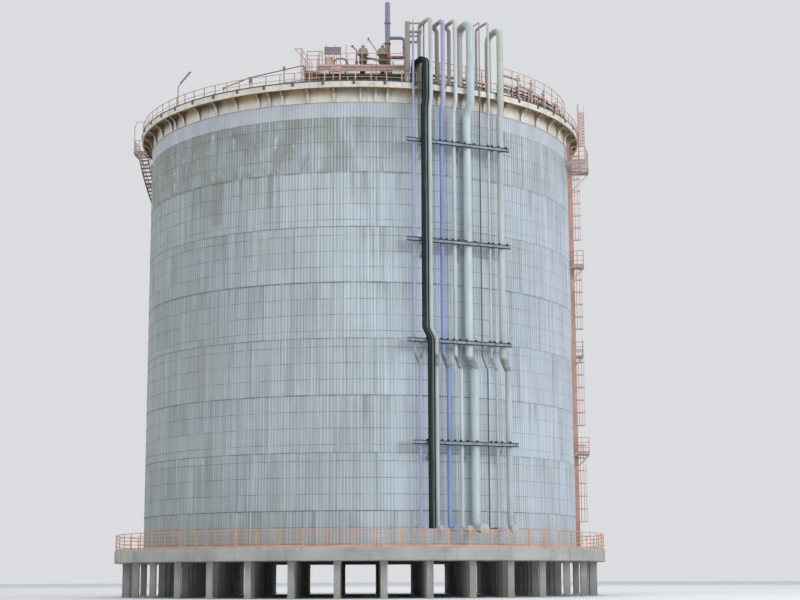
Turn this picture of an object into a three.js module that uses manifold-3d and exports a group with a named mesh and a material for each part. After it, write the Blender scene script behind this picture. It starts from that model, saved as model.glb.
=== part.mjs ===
// Double-wall chemical storage tank at half its real size, in millimetres, +Z up.
// The origin is on the ground, on the tank's axis.
// An angle is measured about the tank's axis from its front (-Y), and grows towards +X.

import * as THREE from "three";
import { mergeVertices } from "three/addons/utils/BufferGeometryUtils.js";
import Module from "manifold-3d";

const wasm = await Module();
wasm.setup();

// Foundation: a round concrete slab on short square piers, in a ring and in rows inside it.
const SLAB_RADIUS = 10170;
const SLAB_LOW = 1350;
const SLAB_TOP = 1830;
const PIER_WIDTH = 260;
const PIER_RING_RADIUS = 9700;
const PIER_RING_COUNT = 36;
const PIER_ROWS = 6;
const PIER_ROWS_RADIUS = 8600;
const PIER_HEAD = 50;

// Tank: an outer and an inner wall of 72 flats, on an insulated bottom, under a dome.
const FLATS = 72;
const FLAT_ANGLE = 360 / FLATS;
const WALL_RADIUS = 9000;
const WALL_THICKNESS = 60;
const WALL_TOP = 19200;
const WALL_PIECES = 6;
const INNER_RADIUS = 8500;
const INNER_THICKNESS = 50;
const INNER_TOP = 18400;
const INNER_PIECES = 4;
const INNER_FLATS = 36;
const BOTTOM_TOP = 2130;
const BOTTOM_CLEARANCE = 12;
const DOME_SPHERE = 18000;
const DOME_EDGE_RADIUS = 8990;
const DOME_EDGE_TOP = 19260;
const DOME_THICKNESS = 60;
const DOME_SIDES = 36;
const DOME_RINGS = 5;
const DOME_LIP = 20;

// A piece reaches this far into what carries it, and is then cut with a narrow gap.
const BITE = 40;
const ROOF_BITE = 200;
const SEAT = 0.3;

// Ring walkway round the top, carried by plate brackets.
const BRACKETS = 56;
const BRACKET_ANGLE = 360 / BRACKETS;
const RING_START = BRACKET_ANGLE / 2;
const BRACKET_FOOT = 18675;
const BRACKET_TOE = 60;
const BRACKET_HOLLOW = [9158, 18995];
const BRACKET_THICKNESS = 30;
const DECK_TOP = 19258;
const DECK_THICKNESS = 30;
const FASCIA_RADIUS = 9440;
const FASCIA_THICKNESS = 30;
const FASCIA_LOW = 19127;
const FASCIA_TOP = 19358;
const QUARTERS = 4;
const QUARTER_GAP = 0.001;
const POSTS_PER_QUARTER = 9;
const LADDER_OPENING = [81, 86];
const STAIR_OPENING = [264, 268.5];

// Railings: a square top rail on square posts.
const RAIL_SIZE = 25;
const POST_SIZE = 21;
const WALKWAY_RAIL_HEIGHT = 500;
const SLAB_RAIL_RADIUS = 10140;
const SLAB_RAIL_HEIGHT = 650;
const LANDING_RAIL_HEIGHT = 550;

// Pipe rack on the front right: straight beams across the wall, pipes behind and before them.
const RACK_ANGLE = 23.3;
const BEAM_BACK = 9400;
const BEAM_DEPTH = 80;
const BEAM_HEIGHT = 150;
const BEAM_HALF_LENGTH = 2200;
const BEAM_HEIGHTS = [17070, 13230, 9420, 5640];
const BEAM_STUBS = [-1430, 130, 1560];
const STUB_WIDTH = 50;
const STUB_INSET = 20;
const STUB_BITE = 350;
const STRUT_FALL = 670;
const SIDE_STEP = 220;
const SIDE_STEP_LEVELS = [8440, 8950];
const FRONT_STEP = [9500, 9900];
const FRONT_SHIFT = 60;
const FASCIA_CLEARANCE = 20;
const OUT_STEP_LOW = 18300;
const OUT_STEP_HIGH = 18800;
const PIPE_FOOT = 2500;
const FLANGE_RADIUS = 9960;
const FLANGE_THICKNESS = 30;
const FLANGE_RIM = 35;
const FLANGE_SIDES = 12;
const ELBOW = 2.5;
const PIPE_BACK_RUN = 1000;
const DUCT_PLACE = -1455;
const DUCT_SIZE = [190, 110, 20360];
const PIPE_SIDES = 8;
const SLIM_SIDES = 6;

// Cage ladder at the right, from landing to landing.
const LANDING_LEVELS = [SLAB_TOP, 5800, 9930, 13700, 17940, DECK_TOP];
const LADDER_ANGLES = [83.4, 80.6, 83.4, 80.6, 83.4];
const LADDER_WIDTH = 275;
const LADDER_STANDOFF = 9150;
const LADDER_STILE = 25;
const LADDER_OVERRUN = 600;
const LADDER_TOP_OVERRUN = 1500;
const LADDER_FIXING = 700;
const RUNG_PITCH = 600;
const RUNG_SIZE = 14;
const CAGE_START = 1150;
const CAGE_PITCH = 1340;
const CAGE_REACH = 360;
const CAGE_SWELL = 1.2;
const CAGE_BAR = 18;
const LANDING_DEPTH = 40;
const HATCH_HALF_ANGLE = 1.2;
const HATCH_MARGIN = 60;
const LANDINGS = [
  { level: 1, from: 79.2, to: 82.25, outer: 9650 },
  { level: 2, from: 81.75, to: 84.9, outer: 9480 },
  { level: 3, from: 79.2, to: 82.25, outer: 9590 },
  { level: 4, from: 72.5, to: 85.2, outer: 9880 },
];

// Stair that winds down behind the tank to the slab, in three flights.
const STAIR_INNER = 9460;
const STAIR_OUTER = 9840;
const STAIR_HEAD_ANGLE = -96;
const STAIR_HEAD_LEVEL = 19120;
const STAIR_RISERS = [43, 43, 42];
const TREAD_ANGLE = 0.92;
const STAIR_LANDING_ANGLE = 4.5;
const FLOOR_GAP = 0.002;
const TREAD_THICKNESS = 20;
const STEP_REACH = 0.98;
const STAIR_BAND = 20;
const STAIR_HEAD_EXTRA = 90;
const NOSING_ANGLE = 0.2;
const HANDRAIL_POSTS = 6;
const ARM_SIZE = 40;

// Roof equipment, on a platform over the front edge of the dome.
const PLATFORM_TOP = 20160;
const PLATFORM_FRONT = -8750;
const PLATFORM_BACK = -6950;
const PLATFORM_LEFT = -2200;
const PLATFORM_RIGHT = 1750;
const PLATFORM_STEP = -1650;
const ROOF_STAIR_BACK = -8150;
const PLATFORM_FLOOR = 30;
const PLATFORM_BEAM = 150;
const BEAM_WIDTH = 60;
const LEG_WIDTH = 70;
const ROOF_STAIR_FRONT = -9120;
const ROOF_STAIR_RISERS = 7;
const VALVE_PLACES = [[90, -8250], [850, -8250]];
const VALVE_HOLE = 100;
const VALVE_SIDE = 20640;
const STACK_PLACE = [1060, -7600];
const STACK_RADIUS = 100;
const STACK_HOLE = 130;
const STACK_TOP = 23140;
const STACK_BRANCH = [580, 21690, 20900];
const STACK_BRANCH_RADIUS = 45;
const COLUMN_PLACE = [1800, -8970];
const COLUMN_TOP = 21900;
const COLUMN_RADIUS = 75;
const PANEL_PLACE = [-1080, -8600];
const PANEL_SIZE = [640, 120];
const PANEL_LEVELS = [20690, 20960];
const LIGHT_ANGLE = -51.8;
const LIGHT_RADIUS = 9340;
const LIGHT_TOP = 20250;
const LAMP_SIZE = [120, 60];

const paint = {
  cladding: new THREE.MeshStandardMaterial({ color: 0xb4bcc4, roughness: 0.6, metalness: 0.1 }),
  cream: new THREE.MeshStandardMaterial({ color: 0xcfc6b0, roughness: 0.6, metalness: 0.0 }),
  concrete: new THREE.MeshStandardMaterial({ color: 0xb9b7ad, roughness: 0.9, metalness: 0.0 }),
  salmon: new THREE.MeshStandardMaterial({ color: 0xc98468, roughness: 0.6, metalness: 0.0 }),
  beam: new THREE.MeshStandardMaterial({ color: 0x6f7a80, roughness: 0.6, metalness: 0.1 }),
  purple: new THREE.MeshStandardMaterial({ color: 0x8f8fc0, roughness: 0.5, metalness: 0.0 }),
  dark: new THREE.MeshStandardMaterial({ color: 0x1d2e33, roughness: 0.6, metalness: 0.0 }),
  green: new THREE.MeshStandardMaterial({ color: 0x9aa896, roughness: 0.6, metalness: 0.0 }),
  steel: new THREE.MeshStandardMaterial({ color: 0x8e9396, roughness: 0.5, metalness: 0.4 }),
  insulation: new THREE.MeshStandardMaterial({ color: 0xa09a8c, roughness: 0.9, metalness: 0.0 }),
};

const tank = new THREE.Group();

// Solids

function toSolid(geometry) {
  const bare = geometry.clone();
  bare.deleteAttribute("normal");
  bare.deleteAttribute("uv");
  const merged = mergeVertices(bare, 0.002);
  const mesh = new wasm.Mesh({
    numProp: 3,
    vertProperties: new Float32Array(merged.attributes.position.array),
    triVerts: new Uint32Array(merged.index.array),
  });
  return new wasm.Manifold(mesh);
}

function join(geometries) {
  let whole = toSolid(geometries[0]);
  for (const geometry of geometries.slice(1)) {
    whole = whole.add(toSolid(geometry));
  }
  return whole;
}

function toGeometry(solid) {
  const mesh = solid.getMesh();
  const geometry = new THREE.BufferGeometry();
  geometry.setAttribute("position", new THREE.BufferAttribute(mesh.vertProperties, 3));
  geometry.setIndex(new THREE.BufferAttribute(mesh.triVerts, 1));
  geometry.computeVertexNormals();
  return geometry;
}

function addNode(name, shape, material) {
  const geometry = shape instanceof THREE.BufferGeometry ? shape : toGeometry(shape);
  const mesh = new THREE.Mesh(geometry, material);
  mesh.name = name;
  tank.add(mesh);
}

// Shapes: each is made at the front of the tank (x along the wall, -y outwards), then turned.

function turned(geometry, angle) {
  return geometry.rotateZ(THREE.MathUtils.degToRad(angle));
}

function block(width, depth, x, y, low, high) {
  return new THREE.BoxGeometry(width, depth, high - low).translate(x, y, (low + high) / 2);
}

function placeBetween(geometry, from, to) {
  const start = new THREE.Vector3(...from);
  const end = new THREE.Vector3(...to);
  const along = end.clone().sub(start).normalize();
  const turn = new THREE.Quaternion().setFromUnitVectors(new THREE.Vector3(0, 0, 1), along);
  const middle = start.add(end).multiplyScalar(0.5);
  return geometry.applyQuaternion(turn).translate(middle.x, middle.y, middle.z);
}

function distance(from, to) {
  return new THREE.Vector3(...from).distanceTo(new THREE.Vector3(...to));
}

function bar(from, to, width, depth = width) {
  return placeBetween(new THREE.BoxGeometry(width, depth, distance(from, to)), from, to);
}

function rod(from, to, radius, sides = PIPE_SIDES) {
  const cylinder = new THREE.CylinderGeometry(radius, radius, distance(from, to), sides);
  return placeBetween(cylinder.rotateX(Math.PI / 2), from, to);
}

function bend(geometry, place) {
  const position = geometry.attributes.position;
  for (let index = 0; index < position.count; index += 1) {
    const spot = place(position.getX(index), position.getY(index), position.getZ(index));
    position.setXYZ(index, ...spot);
  }
  return geometry;
}

function arcBar(inner, outer, low, high, from, to, steps, rise = 0) {
  const strip = new THREE.BoxGeometry(1, 1, 1, steps, 1, 1);
  return bend(strip, (u, v, w) => {
    const angle = THREE.MathUtils.degToRad(from + (u + 0.5) * (to - from));
    const radius = outer - (v + 0.5) * (outer - inner);
    const height = low + (w + 0.5) * (high - low) + (u + 0.5) * rise;
    return [radius * Math.sin(angle), -radius * Math.cos(angle), height];
  });
}

function plate(outline, thickness, x) {
  // The outline's points are [distance from the axis, height]
  const shape = new THREE.Shape(outline.map((point) => new THREE.Vector2(...point)));
  const sheet = new THREE.ExtrudeGeometry(shape, { depth: thickness, bevelEnabled: false });
  return bend(sheet, (radius, height, depth) => [x + thickness / 2 - depth, -radius, height]);
}

function lathe(profile, sides, x = 0, y = 0) {
  const points = profile.map((point) => new THREE.Vector2(...point));
  return new THREE.LatheGeometry(points, sides).rotateX(Math.PI / 2).translate(x, y, 0);
}

class Route extends THREE.Curve {
  // Passes through its points, and at each one faces halfway between its two stretches
  constructor(points) {
    super();
    this.points = points;
  }

  getPointAt(share, target = new THREE.Vector3()) {
    const place = share * (this.points.length - 1);
    const index = Math.min(Math.floor(place), this.points.length - 2);
    return target.lerpVectors(this.points[index], this.points[index + 1], place - index);
  }

  getTangentAt(share, target = new THREE.Vector3()) {
    const index = Math.round(share * (this.points.length - 1));
    const before = this.points[Math.max(index - 1, 0)];
    const here = this.points[index];
    const after = this.points[Math.min(index + 1, this.points.length - 1)];
    const arriving = here.clone().sub(before).normalize();
    const leaving = after.clone().sub(here).normalize();
    return target.copy(arriving).add(leaving).normalize();
  }
}

function withElbows(corners, radius) {
  const points = [new THREE.Vector3(...corners[0])];
  for (let index = 1; index < corners.length - 1; index += 1) {
    const corner = new THREE.Vector3(...corners[index]);
    const back = new THREE.Vector3(...corners[index - 1]).sub(corner).normalize();
    const ahead = new THREE.Vector3(...corners[index + 1]).sub(corner).normalize();
    const turn = Math.PI - back.angleTo(ahead);
    const reach = radius * Math.tan(turn / 2);
    const elbow = new THREE.QuadraticBezierCurve3(
      corner.clone().addScaledVector(back, reach),
      corner,
      corner.clone().addScaledVector(ahead, reach),
    );
    const steps = turn > Math.PI / 3 ? 2 : 1;
    points.push(...elbow.getPoints(steps));
  }
  points.push(new THREE.Vector3(...corners.at(-1)));
  return points;
}

function sweep(points, section) {
  return new THREE.ExtrudeGeometry(new THREE.Shape(section), {
    steps: points.length - 1,
    extrudePath: new Route(points),
    bevelEnabled: false,
  });
}

function pipe(corners, radius, elbowRadius = radius * ELBOW, sides = PIPE_SIDES) {
  const section = [];
  for (let side = 0; side < sides; side += 1) {
    const angle = (side / sides) * 2 * Math.PI;
    section.push(new THREE.Vector2(radius * Math.cos(angle), radius * Math.sin(angle)));
  }
  return sweep(withElbows(corners, elbowRadius), section);
}

// The outside of the wall and of the roof, which pieces that stand on them are cut by

function domeHeight(radius) {
  const centre = DOME_EDGE_TOP - Math.sqrt(DOME_SPHERE ** 2 - DOME_EDGE_RADIUS ** 2);
  return centre + Math.sqrt(DOME_SPHERE ** 2 - radius ** 2);
}

function domeOutline(drop = 0) {
  const points = [];
  for (let ring = 0; ring <= DOME_RINGS; ring += 1) {
    const radius = (DOME_EDGE_RADIUS * ring) / DOME_RINGS;
    points.push([radius, domeHeight(radius) - drop]);
  }
  return points;
}

function wallBody() {
  const radius = WALL_RADIUS + SEAT;
  const top = FASCIA_TOP;
  const cylinder = new THREE.CylinderGeometry(radius, radius, top - SLAB_TOP, FLATS);
  const upright = cylinder.rotateX(Math.PI / 2).translate(0, 0, (top + SLAB_TOP) / 2);
  return toSolid(turned(upright, RING_START));
}

function roofBody() {
  const outline = domeOutline(-SEAT);
  const profile = [[0, SLAB_TOP], [DOME_EDGE_RADIUS, SLAB_TOP], ...outline.reverse()];
  return toSolid(lathe(profile, DOME_SIDES));
}

const slabMass = toSolid(block(3 * SLAB_RADIUS, 3 * SLAB_RADIUS, 0, 0, 0, SLAB_TOP));
const wallMass = wallBody();
const roofMass = roofBody();

// Foundation

function pierPlaces() {
  // The rows inside the ring run in line with its piers, along x and along y
  const places = [];
  const lines = [];
  for (let pier = 0; pier < PIER_RING_COUNT; pier += 1) {
    const angle = THREE.MathUtils.degToRad(((pier + 0.5) * 360) / PIER_RING_COUNT);
    places.push([PIER_RING_RADIUS * Math.sin(angle), -PIER_RING_RADIUS * Math.cos(angle)]);
    if (pier < PIER_ROWS) {
      lines.push(places[pier][0], -places[pier][0]);
    }
  }
  for (const x of lines) {
    for (const y of lines) {
      if (Math.hypot(x, y) < PIER_ROWS_RADIUS) {
        places.push([x, y]);
      }
    }
  }
  return places;
}

function foundationSlab() {
  const height = SLAB_TOP - SLAB_LOW;
  const disc = new THREE.CylinderGeometry(SLAB_RADIUS, SLAB_RADIUS, height, FLATS);
  const pieces = [disc.rotateX(Math.PI / 2).translate(0, 0, SLAB_LOW + height / 2)];
  const pierTop = SLAB_LOW + PIER_HEAD;
  for (const [x, y] of pierPlaces()) {
    pieces.push(block(PIER_WIDTH, PIER_WIDTH, x, y, 0, pierTop));
  }
  return join(pieces);
}

addNode("foundation_slab", foundationSlab(), paint.concrete);

// Walls and roof

function tankBottom() {
  const radius = WALL_RADIUS - WALL_THICKNESS - BOTTOM_CLEARANCE;
  const height = BOTTOM_TOP - SLAB_TOP;
  const disc = new THREE.CylinderGeometry(radius, radius, height, FLATS);
  return disc.rotateX(Math.PI / 2).translate(0, 0, SLAB_TOP + height / 2);
}

function wallRing(name, pieces, flats, outer, thickness, low, high, material) {
  const arc = 360 / pieces;
  for (let piece = 0; piece < pieces; piece += 1) {
    const from = RING_START + piece * arc;
    const steps = flats / pieces;
    const segment = arcBar(outer - thickness, outer, low, high, from, from + arc, steps);
    addNode(`${name}_${piece + 1}`, segment, material);
  }
}

function roofQuarter(quarter) {
  const underside = domeOutline(DOME_THICKNESS).slice(0, -1);
  const profile = [
    ...underside,
    [WALL_RADIUS - WALL_THICKNESS - DOME_LIP, WALL_TOP],
    [DOME_EDGE_RADIUS, WALL_TOP],
    ...domeOutline().reverse(),
  ];
  const dome = toSolid(lathe(profile, DOME_SIDES));
  const size = 2 * SLAB_RADIUS;
  const corner = (size + SEAT) / 2;
  const wedge = turned(block(size, size, corner, -corner, 0, 2 * WALL_TOP), 90 * quarter);
  return dome.intersect(toSolid(wedge));
}

addNode("tank_bottom", tankBottom(), paint.insulation);
const outerSize = [WALL_RADIUS, WALL_THICKNESS, SLAB_TOP, WALL_TOP];
const innerSize = [INNER_RADIUS, INNER_THICKNESS, BOTTOM_TOP, INNER_TOP];
wallRing("outer_wall", WALL_PIECES, FLATS, ...outerSize, paint.cladding);
wallRing("inner_wall", INNER_PIECES, INNER_FLATS, ...innerSize, paint.steel);
for (let quarter = 0; quarter < QUARTERS; quarter += 1) {
  addNode(`roof_dome_${quarter + 1}`, roofQuarter(quarter), paint.cladding);
}

// Ring walkway

function onFlat(radius, angle, flat) {
  // How far out the flats of a ring run at an angle from the start of its first flat
  const offset = (((angle % flat) + flat) % flat) - flat / 2;
  const half = THREE.MathUtils.degToRad(flat / 2);
  return (radius * Math.cos(half)) / Math.cos(THREE.MathUtils.degToRad(offset));
}

function railRing(radius, floor, height, from, to, postCount, flat = FLAT_ANGLE) {
  // A top rail on posts, along an arc; the outer posts stand at its two ends
  const steps = Math.max(1, Math.round((to - from) / flat));
  const top = floor + height;
  const pieces = [arcBar(radius - RAIL_SIZE, radius, top - RAIL_SIZE, top, from, to, steps)];
  const inset = THREE.MathUtils.radToDeg(RAIL_SIZE / radius);
  const flatHere = (to - from) / steps;
  for (let post = 0; post < postCount; post += 1) {
    const along = inset + ((to - from - 2 * inset) * post) / (postCount - 1);
    const place = -onFlat(radius - RAIL_SIZE / 2, along, flatHere);
    const upright = block(POST_SIZE, POST_SIZE, 0, place, floor, top - RAIL_SIZE / 2);
    pieces.push(turned(upright, from + along));
  }
  return pieces;
}

function bracketPlate(angle) {
  const outer = FASCIA_RADIUS - FASCIA_THICKNESS * 1.5;
  const deckMiddle = DECK_TOP - DECK_THICKNESS / 2;
  const outline = [
    [WALL_RADIUS - BITE, BRACKET_FOOT],
    [WALL_RADIUS + BRACKET_TOE, BRACKET_FOOT],
    BRACKET_HOLLOW,
    [outer, FASCIA_LOW],
    [outer, deckMiddle],
    [WALL_RADIUS - BITE, deckMiddle],
  ];
  return turned(plate(outline, BRACKET_THICKNESS, 0), angle);
}

// The railing is open where the ladder and the stair arrive
const railSpans = [
  [[RING_START, LADDER_OPENING[0]], [LADDER_OPENING[1], RING_START + 90]],
  [[RING_START + 90, RING_START + 180]],
  [[RING_START + 180, STAIR_OPENING[0]], [STAIR_OPENING[1], RING_START + 270]],
  [[RING_START + 270, RING_START + 360]],
];

function walkwayQuarter(quarter) {
  const from = RING_START + quarter * 90 + QUARTER_GAP;
  const to = from + 90 - 2 * QUARTER_GAP;
  const steps = 90 / FLAT_ANGLE;
  const fasciaInner = FASCIA_RADIUS - FASCIA_THICKNESS;
  const deckLow = DECK_TOP - DECK_THICKNESS;
  const pieces = [
    arcBar(WALL_RADIUS - BITE, fasciaInner + 10, deckLow, DECK_TOP, from, to, steps),
    arcBar(fasciaInner, FASCIA_RADIUS, FASCIA_LOW, FASCIA_TOP, from, to, steps),
  ];
  for (let bracket = 0; bracket < BRACKETS / QUARTERS; bracket += 1) {
    pieces.push(bracketPlate(from + (bracket + 0.5) * BRACKET_ANGLE));
  }
  const railRadius = FASCIA_RADIUS - 5;
  for (const [spanStart, spanEnd] of railSpans[quarter]) {
    const start = Math.max(spanStart, from);
    const end = Math.min(spanEnd, to);
    const posts = Math.max(2, Math.round(((end - start) * POSTS_PER_QUARTER) / 90) + 1);
    pieces.push(...railRing(railRadius, DECK_TOP, WALKWAY_RAIL_HEIGHT, start, end, posts));
  }
  return join(pieces).subtract(wallMass);
}

for (let quarter = 0; quarter < QUARTERS; quarter += 1) {
  addNode(`walkway_${quarter + 1}`, walkwayQuarter(quarter), paint.cream);
}

for (let quarter = 0; quarter < QUARTERS; quarter += 1) {
  const from = RING_START + quarter * 90;
  const posts = POSTS_PER_QUARTER + 1;
  const flat = 2 * FLAT_ANGLE;
  const rail = railRing(SLAB_RAIL_RADIUS, SLAB_TOP, SLAB_RAIL_HEIGHT, from, from + 90, posts, flat);
  addNode(`slab_rail_${quarter + 1}`, join(rail), paint.salmon);
}

// Pipe rack

function bracketBeam(level, shift) {
  const low = level - BEAM_HEIGHT / 2;
  const high = level + BEAM_HEIGHT / 2;
  const middle = -(BEAM_BACK + BEAM_DEPTH / 2);
  const pieces = [block(2 * BEAM_HALF_LENGTH, BEAM_DEPTH, shift, middle, low, high)];
  const inside = WALL_RADIUS - STUB_BITE;
  const outside = BEAM_BACK + STUB_INSET;
  const stubY = -(inside + outside) / 2;
  const strutHigh = level - STUB_INSET;
  for (const stub of BEAM_STUBS) {
    const x = stub + shift;
    const length = outside - inside;
    pieces.push(block(STUB_WIDTH, length, x, stubY, low + STUB_INSET, high - STUB_INSET));
    const strutTop = [x, -(BEAM_BACK - STUB_WIDTH), strutHigh];
    const strutFoot = [x, -inside, strutHigh - STRUT_FALL];
    pieces.push(bar(strutTop, strutFoot, STUB_WIDTH - 2));
  }
  const turnedPieces = pieces.map((piece) => turned(piece, RACK_ANGLE));
  return join(turnedPieces).subtract(wallMass);
}

BEAM_HEIGHTS.forEach((level, index) => {
  const shift = index === 3 ? SIDE_STEP : 0;
  addNode(`bracket_beam_${index + 1}`, bracketBeam(level, shift), paint.beam);
});

function fasciaReach(x) {
  return Math.sqrt(FASCIA_RADIUS ** 2 - x ** 2);
}

function riserFoot(x, radius) {
  // The flange faces outwards near the slab's edge, clear of its railing
  const rim = radius + FLANGE_RIM;
  const reach = Math.sqrt(FLANGE_RADIUS ** 2 - (Math.abs(x) + rim) ** 2);
  const inner = reach - FLANGE_THICKNESS;
  return { inner, flange: rod([x, -inner, PIPE_FOOT], [x, -reach, PIPE_FOOT], rim, FLANGE_SIDES) };
}

function riser({ x, radius, top, front = false, aside = 0, sides = PIPE_SIDES }) {
  // Up from a flange near the slab, past the beams and the walkway, and over to the roof
  const low = front ? BEAM_BACK + BEAM_DEPTH + SEAT + radius : BEAM_BACK - SEAT - radius;
  const high = Math.max(low, fasciaReach(x) + radius + FASCIA_CLEARANCE);
  const highX = front ? x + FRONT_SHIFT : x;
  const lowX = x + SIDE_STEP;
  const step = front ? FRONT_STEP : SIDE_STEP_LEVELS;
  const topLevel = top - radius;
  const back = high - PIPE_BACK_RUN;
  const { inner, flange } = riserFoot(lowX, radius);
  const corners = [
    [lowX, -(inner + 5), PIPE_FOOT],
    [lowX, -low, PIPE_FOOT],
    [lowX, -low, step[0]],
    [x, -low, step[1]],
    [x, -low, OUT_STEP_LOW],
    [highX, -high, OUT_STEP_HIGH],
    [highX, -high, topLevel],
    [highX, -back, topLevel],
  ];
  if (aside > 0) {
    corners.push([highX + aside, -back, topLevel]);
  }
  corners.push([highX + aside, -back, WALL_TOP - ROOF_BITE]);
  const pieces = [pipe(corners, radius, radius * ELBOW, sides), flange];
  return join(pieces.map((piece) => turned(piece, RACK_ANGLE))).subtract(roofMass);
}

const slimSize = { x: -1850, radius: 42, tipLow: 21300, tipHigh: 21900, tipRadius: 8 };

const risers = [
  ["riser_dark", { x: -1265, radius: 66, top: 22040, front: true, sides: SLIM_SIDES }, paint.green],
  ["riser_purple", { x: -660, radius: 68, top: 22030, aside: 230, sides: SLIM_SIDES }, paint.purple],
  ["riser_cream", { x: -140, radius: 66, top: 22105, aside: 230, sides: SLIM_SIDES }, paint.cream],
  ["riser_main", { x: 470, radius: 140, top: 22150 }, paint.cladding],
  ["riser_thin", { x: 960, radius: 24, top: 22130, sides: SLIM_SIDES }, paint.dark],
  ["riser_small", { x: 1360, radius: 42, top: 22240, sides: SLIM_SIDES }, paint.cream],
  ["riser_return", { x: 1890, radius: 105, top: 22100 }, paint.green],
];

function slimRiser({ x, radius, tipLow, tipHigh, tipRadius }) {
  // Stands clear of the walkway's edge and ends in a tapered tip
  const place = -(BEAM_BACK - SEAT - radius);
  const lowX = x + SIDE_STEP;
  const { inner, flange } = riserFoot(lowX, radius);
  const corners = [
    [lowX, -(inner + 5), PIPE_FOOT],
    [lowX, place, PIPE_FOOT],
    [lowX, place, SIDE_STEP_LEVELS[0]],
    [x, place, SIDE_STEP_LEVELS[1]],
    [x, place, tipLow],
  ];
  const tip = new THREE.CylinderGeometry(tipRadius, radius, tipHigh - tipLow, SLIM_SIDES);
  const pieces = [
    pipe(corners, radius, radius * ELBOW, SLIM_SIDES),
    tip.rotateX(Math.PI / 2).translate(x, place, (tipLow + tipHigh) / 2 - 5),
    flange,
  ];
  return join(pieces.map((piece) => turned(piece, RACK_ANGLE)));
}

addNode("riser_slim", slimRiser(slimSize), paint.purple);
for (const [name, size, material] of risers) {
  addNode(name, riser(size), material);
}

function cableDuct() {
  // A flat closed channel before the beams, over the railing and down to the roof
  const [width, depth, top] = DUCT_SIZE;
  const low = BEAM_BACK + BEAM_DEPTH + SEAT + depth / 2;
  const highX = DUCT_PLACE + FRONT_SHIFT;
  const lowX = DUCT_PLACE + SIDE_STEP;
  const back = low - PIPE_BACK_RUN;
  const corners = [
    [lowX, -low, PIPE_FOOT],
    [lowX, -low, FRONT_STEP[0]],
    [DUCT_PLACE, -low, FRONT_STEP[1]],
    [DUCT_PLACE, -low, OUT_STEP_LOW],
    [highX, -low, OUT_STEP_HIGH],
    [highX, -low, top],
    [highX, -back, top],
    [highX, -back, WALL_TOP - ROOF_BITE],
  ];
  const section = [
    new THREE.Vector2(-depth / 2, -width / 2),
    new THREE.Vector2(depth / 2, -width / 2),
    new THREE.Vector2(depth / 2, width / 2),
    new THREE.Vector2(-depth / 2, width / 2),
  ];
  const channel = sweep(withElbows(corners, depth * ELBOW), section);
  return toSolid(turned(channel, RACK_ANGLE)).subtract(roofMass);
}

addNode("cable_duct", cableDuct(), paint.dark);

// Cage ladder and its landings

function cageHoop(half, standoff, level) {
  // Half an oval from stile to stile, round the climber's back
  const strip = new THREE.BoxGeometry(1, 1, 1, 4, 1, 1);
  return bend(strip, (u, v, w) => {
    const angle = u * Math.PI;
    const inset = (v + 0.5) * CAGE_BAR;
    const x = Math.sin(angle) * (half * CAGE_SWELL - inset);
    const y = Math.cos(angle) * (CAGE_REACH - inset);
    return [x, -(standoff + y), level + (w + 0.5) * CAGE_BAR];
  });
}

function ladderRun(run) {
  const angle = LADDER_ANGLES[run];
  const floor = LANDING_LEVELS[run];
  const lastRun = run === LADDER_ANGLES.length - 1;
  const overrun = lastRun ? LADDER_TOP_OVERRUN : LADDER_OVERRUN;
  const top = LANDING_LEVELS[run + 1] + overrun;
  const standoff = lastRun ? FASCIA_RADIUS + 60 : LADDER_STANDOFF;
  const half = LADDER_WIDTH / 2;
  const pieces = [];
  for (const side of [-half, half]) {
    pieces.push(block(LADDER_STILE, LADDER_STILE, side, -standoff, floor, top));
  }
  for (let level = floor + RUNG_PITCH; level < top - RUNG_SIZE; level += RUNG_PITCH) {
    pieces.push(bar([-half, -standoff, level], [half, -standoff, level], RUNG_SIZE));
  }
  const inside = WALL_RADIUS - BITE;
  const fixingY = -(inside + standoff) / 2;
  for (const level of [floor + LADDER_FIXING, (floor + LANDING_LEVELS[run + 1]) / 2]) {
    for (const side of [-half, half]) {
      const size = LADDER_STILE - 4;
      pieces.push(block(size, standoff - inside, side, fixingY, level, level + size));
    }
  }
  const hoops = [];
  for (let level = floor + CAGE_START; level < top; level += CAGE_PITCH) {
    hoops.push(level);
    pieces.push(cageHoop(half, standoff, level));
  }
  const strapY = -(standoff + CAGE_REACH - CAGE_BAR / 2);
  const strapLow = hoops[0] + 2;
  const strapHigh = hoops.at(-1) + CAGE_BAR - 2;
  pieces.push(block(CAGE_BAR, CAGE_BAR - 4, 0, strapY, strapLow, strapHigh));
  return join(pieces.map((piece) => turned(piece, angle))).subtract(wallMass);
}

function ladderLanding({ level, from, to, outer }) {
  const floor = LANDING_LEVELS[level];
  const inside = WALL_RADIUS - BITE;
  const steps = Math.max(1, Math.round((to - from) / FLAT_ANGLE));
  const low = floor - LANDING_DEPTH;
  const sunk = floor - LANDING_DEPTH / 2;
  const railHeight = LANDING_RAIL_HEIGHT + LANDING_DEPTH / 2;
  const pieces = [
    arcBar(inside, outer, low, floor, from, to, steps),
    ...railRing(outer - 4, sunk, railHeight, from + 0.15, to - 0.15, 4),
  ];
  for (const angle of [from + 0.3, to - 0.3]) {
    const strutTop = [0, -(outer - 60), sunk];
    const strutFoot = [0, -inside, sunk - (outer - inside)];
    pieces.push(turned(bar(strutTop, strutFoot, ARM_SIZE), angle));
  }
  const whole = join(pieces).subtract(wallMass);
  const passing = LADDER_ANGLES[level - 1];
  if (passing < from || passing > to) {
    return whole;
  }
  // The ladder below comes up through a hatch in the floor
  const hatchOuter = LADDER_STANDOFF + CAGE_REACH + HATCH_MARGIN;
  const start = passing - HATCH_HALF_ANGLE;
  const end = passing + HATCH_HALF_ANGLE;
  const hatchLow = floor - (outer - inside);
  const hatch = arcBar(WALL_RADIUS - 100, hatchOuter, hatchLow, floor + 50, start, end, 1);
  return whole.subtract(toSolid(hatch));
}

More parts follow.
